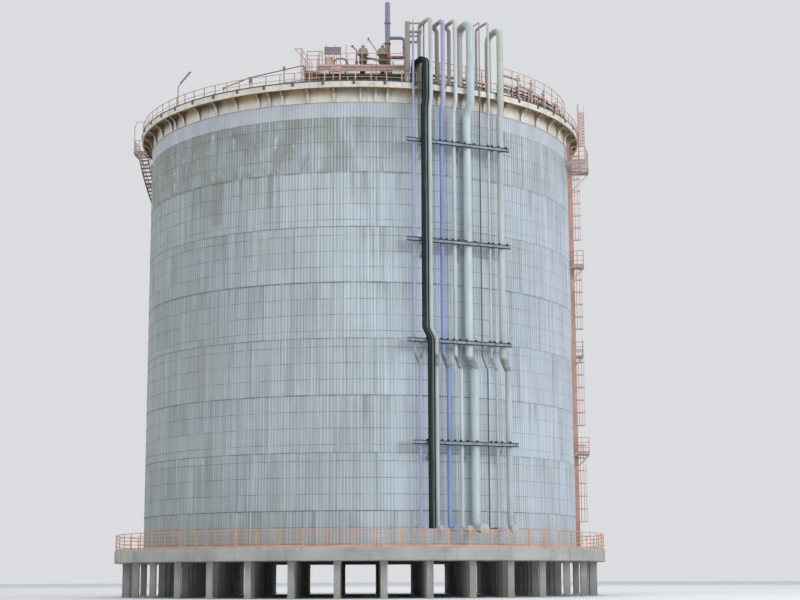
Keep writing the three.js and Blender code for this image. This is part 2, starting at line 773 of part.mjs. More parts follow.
for (let run = 0; run < LADDER_ANGLES.length; run += 1) {
  addNode(`ladder_${run + 1}`, ladderRun(run), paint.salmon);
}

for (const landing of LANDINGS) {
  addNode(`ladder_landing_${landing.level}`, ladderLanding(landing), paint.salmon);
}

// Stair behind the tank

const stairRiserCount = STAIR_RISERS.reduce((sum, count) => sum + count, 0);
const STAIR_RISER = (STAIR_HEAD_LEVEL - SLAB_TOP) / stairRiserCount;

function stairFloor(from, to, level, outer) {
  // A floor with a nosing down to the first tread of the flight below it
  const nosing = level - STAIR_RISER - 25;
  const sunk = level - LANDING_DEPTH / 2;
  const railHeight = LANDING_RAIL_HEIGHT + LANDING_DEPTH / 2;
  return [
    arcBar(STAIR_INNER, outer, level - LANDING_DEPTH, level, to, from, 1),
    arcBar(STAIR_INNER, STAIR_OUTER, nosing, level, to, to + NOSING_ANGLE, 1),
    ...railRing(outer - 2, sunk, railHeight, to + 0.1, from - 0.1, 3),
  ];
}

function wallArm(angle, level) {
  const inside = WALL_RADIUS - BITE;
  const outside = STAIR_OUTER - 20;
  const y = -(inside + outside) / 2;
  return turned(block(ARM_SIZE, outside - inside, 0, y, level - ARM_SIZE, level), angle);
}

function stairFlight(start, head, risers) {
  // One stepped band that goes down from the head level, away from the front
  const treads = risers - 1;
  const end = start - treads * TREAD_ANGLE;
  const columns = 2 * treads;
  const band = new THREE.BoxGeometry(1, 1, 1, columns - 1, 1, 1);
  bend(band, (u, v, w) => {
    const column = Math.round((u + 0.5) * (columns - 1));
    const tread = treads - Math.floor(column / 2);
    const share = column % 2 === 0 ? 0 : STEP_REACH;
    const angle = THREE.MathUtils.degToRad(start - (tread - share) * TREAD_ANGLE);
    const radius = STAIR_OUTER - (v + 0.5) * (STAIR_OUTER - STAIR_INNER);
    const top = head - tread * STAIR_RISER;
    const under = head - (tread - share + 1) * STAIR_RISER - STAIR_BAND;
    return [radius * Math.sin(angle), -radius * Math.cos(angle), w > 0 ? top : under];
  });
  return { pieces: [band], end, foot: head - risers * STAIR_RISER };
}

function handrail(start, end, head, foot) {
  const steps = Math.round((start - end) / FLAT_ANGLE);
  const outer = STAIR_OUTER - 2;
  const rise = head - foot;
  const low = foot + WALKWAY_RAIL_HEIGHT - STAIR_RISER / 2;
  const pieces = [arcBar(outer - RAIL_SIZE, outer, low, low + RAIL_SIZE, end, start, steps, rise)];
  for (let post = 0; post < HANDRAIL_POSTS; post += 1) {
    const share = (post + 0.5) / HANDRAIL_POSTS;
    const angle = end + (start - end) * share;
    const level = foot + rise * share;
    const place = -(outer - RAIL_SIZE / 2) * Math.cos(THREE.MathUtils.degToRad(FLAT_ANGLE / 2));
    const top = low + rise * share + RAIL_SIZE / 2;
    pieces.push(turned(block(POST_SIZE, POST_SIZE, 0, place, level - 60, top), angle));
  }
  return pieces;
}

let stairAngle = STAIR_HEAD_ANGLE;
let stairLevel = STAIR_HEAD_LEVEL;
STAIR_RISERS.forEach((risersHere, index) => {
  const floorStart = stairAngle + STAIR_LANDING_ANGLE - FLOOR_GAP;
  const outer = index === 0 ? STAIR_OUTER + STAIR_HEAD_EXTRA : STAIR_OUTER;
  const flight = stairFlight(stairAngle, stairLevel, risersHere);
  const pieces = [
    ...stairFloor(floorStart, stairAngle - NOSING_ANGLE, stairLevel, outer),
    ...flight.pieces,
    ...handrail(stairAngle, flight.end, stairLevel - STAIR_RISER, flight.foot + STAIR_RISER),
  ];
  const treads = risersHere - 1;
  for (let arm = 1; arm <= 3; arm += 1) {
    const tread = Math.round((treads * arm) / 3 - 2);
    const angle = stairAngle - (tread - 0.5) * TREAD_ANGLE;
    pieces.push(wallArm(angle, stairLevel - tread * STAIR_RISER - TREAD_THICKNESS / 2));
  }
  if (index > 0) {
    pieces.push(wallArm(floorStart - 1, stairLevel - 20));
  }
  const stair = join(pieces).subtract(wallMass).subtract(slabMass);
  addNode(`stair_${index + 1}`, stair, paint.salmon);
  stairAngle = flight.end - STAIR_LANDING_ANGLE;
  stairLevel = flight.foot;
});

// Roof equipment

function railAlongX(from, to, y, posts) {
  // A rail with a post at each end; the posts stop inside it
  const top = PLATFORM_TOP + LANDING_RAIL_HEIGHT;
  const width = to - from + RAIL_SIZE;
  const pieces = [block(width, RAIL_SIZE, (from + to) / 2, y, top - RAIL_SIZE, top)];
  for (let post = 0; post < posts; post += 1) {
    const x = from + ((to - from) * post) / (posts - 1);
    pieces.push(block(POST_SIZE, POST_SIZE, x, y, PLATFORM_TOP - 10, top - RAIL_SIZE / 2));
  }
  return pieces;
}

function railAlongY(from, to, x, posts) {
  // A rail that ends inside two others, with its posts between them
  const top = PLATFORM_TOP + LANDING_RAIL_HEIGHT - 2;
  const low = top - RAIL_SIZE + 4;
  const pieces = [block(POST_SIZE + 2, to - from, x, (from + to) / 2, low, top)];
  for (let post = 1; post <= posts; post += 1) {
    const y = from + ((to - from) * post) / (posts + 1);
    pieces.push(block(POST_SIZE, POST_SIZE, x, y, PLATFORM_TOP - 10, (low + top) / 2));
  }
  return pieces;
}

function platformFloor() {
  const floor = new THREE.Shape([
    new THREE.Vector2(PLATFORM_STEP, PLATFORM_FRONT),
    new THREE.Vector2(PLATFORM_RIGHT, PLATFORM_FRONT),
    new THREE.Vector2(PLATFORM_RIGHT, PLATFORM_BACK),
    new THREE.Vector2(PLATFORM_LEFT, PLATFORM_BACK),
    new THREE.Vector2(PLATFORM_LEFT, ROOF_STAIR_BACK),
    new THREE.Vector2(PLATFORM_STEP, ROOF_STAIR_BACK),
  ]);
  const holes = VALVE_PLACES.map((place) => [place, VALVE_HOLE]);
  holes.push([STACK_PLACE, STACK_HOLE]);
  for (const [place, radius] of holes) {
    const hole = new THREE.Path();
    hole.absarc(...place, radius, 0, 2 * Math.PI, true);
    floor.holes.push(hole);
  }
  const size = { depth: PLATFORM_FLOOR, bevelEnabled: false, curveSegments: 12 };
  return new THREE.ExtrudeGeometry(floor, size).translate(0, 0, PLATFORM_TOP - PLATFORM_FLOOR);
}

function roofPlatform() {
  const inset = 4 + BEAM_WIDTH / 2;
  const front = PLATFORM_FRONT + inset;
  const back = PLATFORM_BACK - inset;
  const left = PLATFORM_LEFT + inset;
  const right = PLATFORM_RIGHT - inset;
  const step = PLATFORM_STEP + inset;
  const corner = ROOF_STAIR_BACK + inset;
  const high = PLATFORM_TOP - PLATFORM_FLOOR / 2;
  const low = PLATFORM_TOP - PLATFORM_BEAM;
  const beamAlongX = (from, to, y) =>
    block(to - from + BEAM_WIDTH, BEAM_WIDTH, (from + to) / 2, y, low, high);
  const beamAlongY = (from, to, x) =>
    block(BEAM_WIDTH - 4, to - from, x, (from + to) / 2, low + 2, high - 2);
  const pieces = [
    platformFloor(),
    beamAlongX(step, right, front),
    beamAlongX(left, right, back),
    beamAlongX(left, step, corner),
    beamAlongY(front, back, right),
    beamAlongY(corner, back, left),
    beamAlongY(front, corner, step),
    ...railAlongX(step, right, front, 7),
    ...railAlongX(left, right, back, 8),
    ...railAlongY(front, back, right, 2),
    ...railAlongY(corner, back, left, 2),
    ...railAlongY(front, corner, step, 1),
    block(POST_SIZE, POST_SIZE, left, corner, PLATFORM_TOP - 10, PLATFORM_TOP + LANDING_RAIL_HEIGHT - 9),
  ];
  const middles = [-500, 600];
  const legs = [
    [left, corner],
    [left, back],
    [step, front],
    [right, front],
    [right, back],
    ...middles.map((x) => [x, front]),
    ...middles.map((x) => [x, back]),
  ];
  for (const [x, y] of legs) {
    pieces.push(block(LEG_WIDTH, LEG_WIDTH, x, y, WALL_TOP, low + 20));
  }
  return join(pieces).subtract(roofMass);
}

function roofStair() {
  // From the walkway up to the platform, towards the middle of the roof
  const rise = (PLATFORM_TOP - DECK_TOP) / ROOF_STAIR_RISERS;
  const foot = ROOF_STAIR_FRONT;
  const head = ROOF_STAIR_BACK - 1;
  const going = (head - foot) / (ROOF_STAIR_RISERS - 1);
  const left = PLATFORM_LEFT + 60;
  const right = PLATFORM_STEP - 40;
  const pieces = [];
  for (let tread = 1; tread < ROOF_STAIR_RISERS; tread += 1) {
    const y = foot + (tread - 0.5) * going;
    const level = DECK_TOP + tread * rise;
    const low = level - TREAD_THICKNESS;
    pieces.push(block(right - left, going * 0.95, (left + right) / 2, y, low, level));
  }
  const outline = [
    [-foot, DECK_TOP],
    [-foot, DECK_TOP + rise + TREAD_THICKNESS],
    [-head, PLATFORM_TOP],
    [-head, PLATFORM_TOP - 180],
    [-(foot + 120), DECK_TOP],
  ];
  for (const x of [left, right]) {
    pieces.push(plate(outline, TREAD_THICKNESS, x));
    const railFoot = [x, foot + 10, DECK_TOP + rise + LANDING_RAIL_HEIGHT];
    const railHead = [x, head - 14, PLATFORM_TOP + LANDING_RAIL_HEIGHT];
    pieces.push(bar(railFoot, railHead, RAIL_SIZE));
    pieces.push(block(POST_SIZE, POST_SIZE, x, foot + 30, DECK_TOP + 60, railFoot[2]));
    pieces.push(block(POST_SIZE, POST_SIZE, x, head - 30, PLATFORM_TOP - 100, railHead[2] - 15));
  }
  return join(pieces).subtract(roofMass);
}

function reliefValve(x, y) {
  // Radius and height of its outline, from the foot to the cap
  const profile = [
    [0, WALL_TOP],
    [75, WALL_TOP],
    [75, 20480],
    [160, 20480],
    [160, 20530],
    [110, 20560],
    [150, 20720],
    [215, 20760],
    [215, 20830],
    [150, 20960],
    [40, 21010],
    [40, 21080],
    [0, 21080],
  ];
  return toSolid(lathe(profile, 12, x, y)).subtract(roofMass);
}

function instrumentPanel() {
  const [x, y] = PANEL_PLACE;
  const [width, depth] = PANEL_SIZE;
  const [low, high] = PANEL_LEVELS;
  const pieces = [block(width, depth, x, y, low, high)];
  for (const side of [-1, 1]) {
    const legX = x + side * (width / 2 - 30);
    pieces.push(block(30, 30, legX, y, PLATFORM_TOP, low + 10));
  }
  return join(pieces);
}

function ventStack() {
  // A branch leaves near the top, comes down beside the stack and enters the second valve
  const [x, y] = STACK_PLACE;
  const [valveX, valveY] = VALVE_PLACES[1];
  const [reach, high, low] = STACK_BRANCH;
  const branch = [
    [x, y, high],
    [x + reach, y, high],
    [x + reach, y, low],
    [x + reach, valveY, VALVE_SIDE],
    [valveX + 170, valveY, VALVE_SIDE],
  ];
  const pieces = [
    rod([x, y, WALL_TOP], [x, y, STACK_TOP], STACK_RADIUS, 16),
    pipe(branch, STACK_BRANCH_RADIUS),
  ];
  return join(pieces).subtract(roofMass);
}

function pipeColumn() {
  const [x, y] = COLUMN_PLACE;
  return rod([x, y, DECK_TOP], [x, y, COLUMN_TOP], COLUMN_RADIUS, 12);
}

function lightPole() {
  // A pole on a foot, with a lamp that leans in over the roof
  const out = -LIGHT_RADIUS;
  const pieces = [
    rod([0, out, DECK_TOP], [0, out, LIGHT_TOP], 20),
    block(90, 90, 0, out, DECK_TOP, DECK_TOP + 12),
    rod([0, out, LIGHT_TOP - 15], [0, out + 150, LIGHT_TOP + 170], 18),
    bar([0, out + 120, LIGHT_TOP + 150], [0, out + 480, LIGHT_TOP + 580], ...LAMP_SIZE),
  ];
  return join(pieces.map((piece) => turned(piece, LIGHT_ANGLE)));
}

addNode("roof_platform", roofPlatform(), paint.salmon);
addNode("roof_stair", roofStair(), paint.salmon);
VALVE_PLACES.forEach(([x, y], index) => {
  addNode(`relief_valve_${index + 1}`, reliefValve(x, y), paint.green);
});
addNode("instrument_panel", instrumentPanel(), paint.steel);
addNode("vent_stack", ventStack(), paint.purple);
addNode("pipe_column", pipeColumn(), paint.cream);
addNode("light_pole", lightPole(), paint.steel);

export default tank;
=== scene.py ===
"""A double-wall storage tank at half its real size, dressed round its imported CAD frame."""

import math

import bpy
from mathutils import Matrix, Vector


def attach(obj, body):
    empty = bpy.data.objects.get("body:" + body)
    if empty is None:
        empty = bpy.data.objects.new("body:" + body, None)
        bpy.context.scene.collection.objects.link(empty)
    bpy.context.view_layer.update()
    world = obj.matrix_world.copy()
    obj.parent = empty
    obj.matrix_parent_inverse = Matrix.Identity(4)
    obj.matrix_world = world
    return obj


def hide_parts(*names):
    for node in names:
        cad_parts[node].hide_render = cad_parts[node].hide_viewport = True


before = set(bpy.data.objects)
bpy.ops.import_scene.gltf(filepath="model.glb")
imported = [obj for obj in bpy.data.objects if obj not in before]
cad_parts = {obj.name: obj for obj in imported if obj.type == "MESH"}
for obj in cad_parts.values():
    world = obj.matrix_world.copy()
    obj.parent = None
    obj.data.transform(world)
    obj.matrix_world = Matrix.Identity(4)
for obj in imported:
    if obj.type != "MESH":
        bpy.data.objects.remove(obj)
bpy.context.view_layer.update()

bl_info = {
    "name": "Double-wall tank",
    "version": (1, 0, 0),
    "blender": (4, 5, 0),
    "location": "View3D > Sidebar > Tank",
    "description": "Models the cladding, walkways, pipe rack and roof gear of a double-wall tank",
    "category": "Object",
}

UP = Vector((0, 0, 1))

# Places that the CAD frame fixes, in metres, and angles in degrees from the tank's front
SLAB_RADIUS = 10.17
SLAB_LOW = 1.35
SLAB_TOP = 1.83
WALL_RADIUS = 9.0
WALL_TOP = 19.2
DOME_SPHERE = 18.0
DOME_EDGE = (8.99, 19.26)
RING_START = 360 / 56 / 2
BRACKETS = 14
DECK_TOP = 19.258
FASCIA = (9.44, 19.127, 19.358)
RACK_ANGLE = 23.3
BEAM_LEVELS = (17.07, 13.23, 9.42, 5.64)
BEAM_BACK = 9.4
BEAM_FRONT = 9.48
FOOT_LEVEL = 2.5
WALL_PLATE = (8.99, 9.025)

# Cladding: a rib's width in degrees, and the heights of the laps between its courses and of the
# rows of fixings
RIB = 0.8
LAPS = (3.168, 5.301, 7.425, 9.54, 11.718, 13.815, 15.966, 18.063, 18.665)
BAND_LOW = 18.063
COURSE = 2.1276
FIXING_START = 2.562
FIXING_PITCH = 0.6057

parts = []
paints = {}


# Places

def at(angle, radius, height):
    turn = math.radians(angle)
    return Vector((radius * math.sin(turn), -radius * math.cos(turn), height))


def on_rack(along, out, height):
    turn = math.radians(RACK_ANGLE)
    return Vector((
        along * math.cos(turn) + out * math.sin(turn),
        along * math.sin(turn) - out * math.cos(turn),
        height,
    ))


def facing(along, across=UP):
    """The turn that takes Z along one direction, and X as near as it goes to another."""
    z = Vector(along).normalized()
    x = Vector(across) - z * z.dot(Vector(across))
    if x.length < 0.001:
        x = Vector((1, 0, 0)) - z * z.x
    x.normalize()
    return Matrix((x, z.cross(x), z)).transposed().to_euler()


def dome_height(radius):
    centre = DOME_EDGE[1] - math.sqrt(DOME_SPHERE ** 2 - DOME_EDGE[0] ** 2)
    return centre + math.sqrt(DOME_SPHERE ** 2 - radius ** 2)


# Modelling

def clear():
    if bpy.context.object and bpy.context.object.mode != "OBJECT":
        bpy.ops.object.mode_set(mode="OBJECT")
    bpy.ops.object.select_all(action="DESELECT")


def edit(mode="FACE"):
    """Takes the new primitive into the piece in hand, and opens it with all of it selected."""
    parts.append(bpy.context.object)
    bpy.ops.object.transform_apply(location=True, rotation=True, scale=True)
    bpy.ops.object.mode_set(mode="EDIT")
    bpy.ops.mesh.select_mode(type=mode)
    bpy.ops.mesh.select_all(action="SELECT")


def bevelled(bevel):
    """Opens the new primitive with its edges taken off."""
    edit()
    if bevel:
        bpy.ops.mesh.bevel(offset=bevel, segments=1, affect="EDGES")
    select_all()


def circle(place, along, radius, sides=8, across=UP):
    """A round face, square to the way that it will be drawn."""
    clear()
    bpy.ops.mesh.primitive_circle_add(
        vertices=sides, radius=radius, fill_type="NGON", location=place, rotation=facing(along, across)
    )
    edit()


def extrude(move):
    bpy.ops.mesh.extrude_region_move(TRANSFORM_OT_translate={"value": Vector(move)})


def grow(share, centre=(0, 0, 0)):
    bpy.ops.transform.resize(value=(share, share, 1), center_override=centre)


def turn_round(degrees):
    """Turns what is selected about the tank's axis."""
    bpy.ops.transform.rotate(
        value=math.radians(degrees), orient_axis="Z", center_override=(0, 0, 0)
    )


def select_all():
    bpy.ops.mesh.select_all(action="SELECT")


def bar(start, end, size, across=UP, bevel=0.0):
    """A square or flat bar between two places, with its edges taken off."""
    start, end = Vector(start), Vector(end)
    clear()
    bpy.ops.mesh.primitive_cube_add(
        size=1,
        location=(start + end) / 2,
        rotation=facing(end - start, across),
        scale=(size[0], size[1], (end - start).length),
    )
    bevelled(bevel)


def box(centre, size, angle=0, bevel=0.008):
    """A block that stands upright, turned about its own middle."""
    clear()
    bpy.ops.mesh.primitive_cube_add(
        size=1, location=centre, rotation=(0, 0, math.radians(angle)), scale=size
    )
    bevelled(bevel)


def run(corners, radius=0.0, flat=None, bend=0.0, sides=12, steps=5, across=UP):
    """A section drawn from corner to corner, and spun round each bend."""
    corners = [Vector(corner) for corner in corners]
    here = corners[0]
    along = corners[1] - here
    if flat:
        clear()
        bpy.ops.mesh.primitive_plane_add(size=1, location=here, rotation=facing(along, across))
        bpy.context.object.scale = (*flat, 1)
        edit()
    else:
        circle(here, along, radius, sides, across)
    for before, corner, after in zip(corners, corners[1:], corners[2:]):
        ahead = (corner - before).normalized()
        leaving = (after - corner).normalized()
        angle = ahead.angle(leaving)
        reach = bend * math.tan(angle / 2)
        stop = corner - ahead * reach
        extrude(stop - here)
        axis = ahead.cross(leaving).normalized()
        turns = max(1, round(steps * angle / (math.pi / 2)))
        centre = stop + axis.cross(ahead) * bend
        bpy.ops.mesh.spin(steps=turns, angle=-angle, center=centre, axis=axis)
        here = corner + leaving * reach
    extrude(corners[-1] - here)
    select_all()


def chain(points):
    """A line of corners, each drawn out of the one before."""
    points = [Vector(point) for point in points]
    clear()
    bpy.ops.mesh.primitive_plane_add(size=0.1, location=points[0])
    edit("VERT")
    bpy.ops.mesh.merge(type="CENTER")
    for before, point in zip(points, points[1:]):
        extrude(point - before)
    select_all()


def face(points):
    chain(points)
    bpy.ops.mesh.edge_face_add()
    bpy.ops.mesh.select_mode(type="FACE")
    select_all()


def prism(points, move):
    """A flat outline drawn out into a body."""
    face(points)
    extrude(move)
    select_all()


def sweep_round(start, end, steps):
    """Spins what is selected about the tank's axis, from one angle to another."""
    bpy.ops.mesh.spin(
        steps=steps, angle=-math.radians(end - start), center=(0, 0, 0), axis=(0, 0, 1)
    )
    select_all()


def ring(profile, start, end, steps):
    """An outline of radius and height, swept round the tank's axis."""
    face([at(start, radius, height) for radius, height in profile])
    sweep_round(start, end, steps)


def strip(inner, outer, low, high, start, end, steps):
    """A flat or upright strip, swept round the tank's axis."""
    ring([(inner, low), (outer, low), (outer, high), (inner, high)], start, end, steps)


def hoop(radius, height, tube, start, end, steps, sides=8):
    """A round rail, swept round the tank's axis."""
    circle(at(start, radius, height), at(start + 90, 1, 0), tube, sides)
    sweep_round(start, end, steps)


def spun_copies(count, angle, centre, axis=UP):
    """Copies what is selected round an axis, with so many copies over an angle."""
    if count > 1:
        bpy.ops.mesh.spin(steps=count - 1, angle=-angle, center=centre, axis=axis, dupli=True)
    select_all()


def around(count, pitch):
    """Copies what is selected round the tank's axis, so many degrees apart."""
    spun_copies(count, math.radians(pitch * (count - 1)), (0, 0, 0))


def circle_of(count, centre, axis=UP):
    """Copies what is selected to a full circle."""
    spun_copies(count, math.tau * (count - 1) / count, centre, axis)


def copies(move, count):
    """Copies what is selected along a straight line."""
    for _ in range(count - 1):
        bpy.ops.mesh.duplicate_move(TRANSFORM_OT_translate={"value": Vector(move)})
    select_all()


def copies_at(places):
    """Copies what is selected from the first place to each of the others."""
    for before, place in zip(places, places[1:]):
        move = Vector(place) - Vector(before)
        bpy.ops.mesh.duplicate_move(TRANSFORM_OT_translate={"value": move})
    select_all()


def lathe(profile, centre, sides=24):
    """An open outline of radius and height, turned round an upright axis and closed."""
    x, y = centre
    chain([(x + radius, y, height) for radius, height in profile])
    bpy.ops.mesh.spin(steps=sides, angle=-math.tau, center=(x, y, 0), axis=(0, 0, 1))
    select_all()
    bpy.ops.mesh.remove_doubles(threshold=0.0001)
    bpy.ops.mesh.normals_make_consistent(inside=False)
    select_all()


def disc(centre, along, radius, thickness, sides=20, bevel=0.004):
    """A flange or cap: a round plate with its rim taken off."""
    clear()
    bpy.ops.mesh.primitive_cylinder_add(
        vertices=sides, radius=radius, depth=thickness, location=centre, rotation=facing(along)
    )
    bevelled(bevel)


def rod(start, end, radius, sides=8):
    start, end = Vector(start), Vector(end)
    disc((start + end) / 2, end - start, radius, (end - start).length, sides, 0)


def lip_outline(depth, drop):
    """The section of a folded tread: a plate with a lip at its front and at its back."""
    plate, lip = 0.006, 0.005
    return [
        (0, 0), (depth, 0), (depth, -drop), (depth - lip, -drop), (depth - lip, -plate),
        (lip, -plate), (lip, -drop), (0, -drop),
    ]


def girder(start, end, height, width, channel=False):
    """A rolled beam: an I, or a channel with its web on one side."""
    start, end = Vector(start), Vector(end)
    side = (end - start).cross(UP).normalized()
    up = side.cross((end - start).normalized())
    h, w, t = height / 2, width / 2, 0.008
    left, right = (t - w, t - w) if channel else (-t / 2, t / 2)
    outline = [(-w, -h), (w, -h), (w, t - h), (right, t - h), (right, h - t), (w, h - t), (w, h), (-w, h)]
    if not channel:
        outline += [(-w, h - t), (left, h - t), (left, t - h), (-w, t - h)]
    prism([start + side * v + up * u for v, u in outline], end - start)


def join_parts(name):
    clear()
    for part in parts:
        part.select_set(True)
    bpy.context.view_layer.objects.active = parts[0]
    if len(parts) > 1:
        bpy.ops.object.join()
    parts.clear()
    piece = bpy.context.object
    piece.name = name
    piece.data.name = name
    return piece


def finish(name, finish_name, nodes=(), smooth=35, outward=True):
    """Joins the parts in hand into one piece, and puts it in the place of its CAD nodes."""
    piece = join_parts(name)
    if outward:
        bpy.ops.object.mode_set(mode="EDIT")
        select_all()
        bpy.ops.mesh.normals_make_consistent(inside=False)
        bpy.ops.object.mode_set(mode="OBJECT")
    bpy.ops.object.shade_smooth_by_angle(angle=math.radians(smooth))
    return dress(piece, finish_name, nodes)


def dress(piece, finish_name, nodes=()):
    piece.data.materials.clear()
    piece.data.materials.append(paint(finish_name))
    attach(piece, "root")
    if nodes:
        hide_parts(*nodes)
    return piece


def finish_round(name, count, finish_name, node, smooth=35, outward=True):
    """Finishes the first of several like pieces, and copies it round the tank for the others."""
    piece = finish(f"{name}_1", finish_name, [f"{node}_1"], smooth, outward)
    for number in range(2, count + 1):
        clear()
        piece.select_set(True)
        bpy.context.view_layer.objects.active = piece
        bpy.ops.object.duplicate(linked=False)
        copy = bpy.context.object
        copy.name = f"{name}_{number}"
        copy.data.name = copy.name
        bpy.ops.object.mode_set(mode="EDIT")
        select_all()
        turn_round(-360 / count * (number - 1))
        bpy.ops.object.mode_set(mode="OBJECT")
        dress(copy, finish_name, [f"{node}_{number}"])


# Finishes

def rgba(colour, share=1.0):
    return tuple(channel * share for channel in colour[:3]) + (1.0,)


class Finish:
    """Builds one paint's nodes round its shader, and keeps the colour reached so far as its body."""

    def __init__(self, name):
        self.material = bpy.data.materials.new(name)
        self.material.use_nodes = True
        self.tree = self.material.node_tree
        self.shader = self.tree.nodes["Principled BSDF"]
        self.place = self.node("TexCoord").outputs["Object"]
        self.normal = self.node("NewGeometry").outputs["Normal"]
        self.body = None

    def put(self, socket, value):
        if isinstance(value, bpy.types.NodeSocket):
            self.tree.links.new(value, socket)
        elif value is not None:
            socket.default_value = value

    def node(self, kind, *values, **settings):
        """A new node with its settings, and with its first sockets filled in."""
        node = self.tree.nodes.new(f"ShaderNode{kind}")
        for key, setting in settings.items():
            setattr(node, key, setting)
        for socket, value in zip(node.inputs, values):
            self.put(socket, value)
        return node

    def maths(self, operation, *values):
        return self.node("Math", *values, operation=operation).outputs[0]

    def times(self, first, *others):
        for other in others:
            first = self.maths("MULTIPLY", first, other)
        return first

    def times_add(self, value, scale, shift):
        return self.maths("MULTIPLY_ADD", value, scale, shift)

    def length(self, x, y):
        return self.maths("SQRT", self.maths("ADD", self.times(x, x), self.times(y, y)))

    def angle(self, x, y):
        """The angle from the tank's front."""
        return self.maths("ARCTAN2", x, self.times(y, -1.0))

    def scaled(self, vector, scale, shift=(0, 0, 0)):
        return self.node("VectorMath", vector, scale, shift, operation="MULTIPLY_ADD").outputs[0]

    def parts_of(self, vector):
        return self.node("SeparateXYZ", vector).outputs

    def joined(self, x, y, z):
        return self.node("CombineXYZ", x, y, z).outputs[0]

    def noise(self, scale, detail=3.0, roughness=0.55, vector=None):
        node = self.node("TexNoise", self.place if vector is None else vector)
        for name, value in (("Scale", scale), ("Detail", detail), ("Roughness", roughness)):
            node.inputs[name].default_value = value
        return node.outputs[0]

    def stretched(self, scale, detail=3.0, roughness=0.55):
        """Noise of another fineness along each axis."""
        return self.noise(1, detail, roughness, self.scaled(self.place, scale))

    def white(self, vector):
        return self.node("TexWhiteNoise", vector).outputs["Value"]

    def band(self, value, low, high, to_low=0.0, to_high=1.0):
        """A smooth step from one value to another."""
        ends = (value, low, high, to_low, to_high)
        return self.node("MapRange", *ends, interpolation_type="SMOOTHSTEP").outputs[0]

    def mix(self, share, first, second):
        node = self.node("Mix", share, data_type="RGBA")
        self.put(node.inputs[6], first)
        self.put(node.inputs[7], second)
        return node.outputs[2]

    def shades(self, value, colour, dark, light):
        """Patches of one colour, darker and lighter."""
        return self.mix(self.band(value, 0.3, 0.7), rgba(colour, dark), rgba(colour, light))

    def cover(self, share, colour, strength=1.0):
        """Lays a colour, or what a socket gives, over the body."""
        if not isinstance(colour, bpy.types.NodeSocket):
            colour = rgba(colour, strength)
        self.body = self.mix(share, self.body, colour)

    def bump(self, height, distance, strength):
        node = self.node("Bump")
        for name, value in (("Height", height), ("Distance", distance), ("Strength", strength)):
            self.put(node.inputs[name], value)
        return node.outputs[0]

    def close(self, roughness, bump=None, metallic=0.0, specular=0.5):
        for name, value in (
            ("Base Color", self.body), ("Roughness", roughness), ("Metallic", metallic),
            ("Specular IOR Level", specular), ("Normal", bump),
        ):
            self.put(self.shader.inputs[name], value)
        return self.material


def painted_steel(
    name, colour, rust=0.3, streaks=0.35, rough=0.5, dark=(0.16, 0.15, 0.13), gloss=0.35, level=0.0
):
    """Weathered paint: faded patches, dark runs, rust, and painted shade on the level faces."""
    look = Finish(name)
    look.body = look.shades(look.noise(1.3, 4), colour, 0.86, 1.1)
    look.cover(look.times(look.band(look.stretched((9, 9, 0.55)), 0.5, 0.72), streaks), dark)
    # Level faces are darkened: painted shade
    if level:
        lying = look.maths("ABSOLUTE", look.parts_of(look.normal)[2])
        look.cover(look.band(lying, 0.5, 0.9, 0.0, level), dark)
    spots = look.band(look.noise(7.5, 6, 0.68), 0.66 - 0.14 * rust, 0.76 - 0.1 * rust)
    rust_tint = look.mix(look.noise(30), (0.2, 0.07, 0.03, 1), (0.36, 0.16, 0.07, 1))
    look.cover(look.times(spots, min(1.0, 0.35 + rust)), rust_tint)
    bump = look.bump(look.times_add(spots, 0.8, look.noise(55, 2)), 0.0015, 0.6)
    return look.close(look.times_add(spots, 0.25, rough), bump, 0.0, gloss)


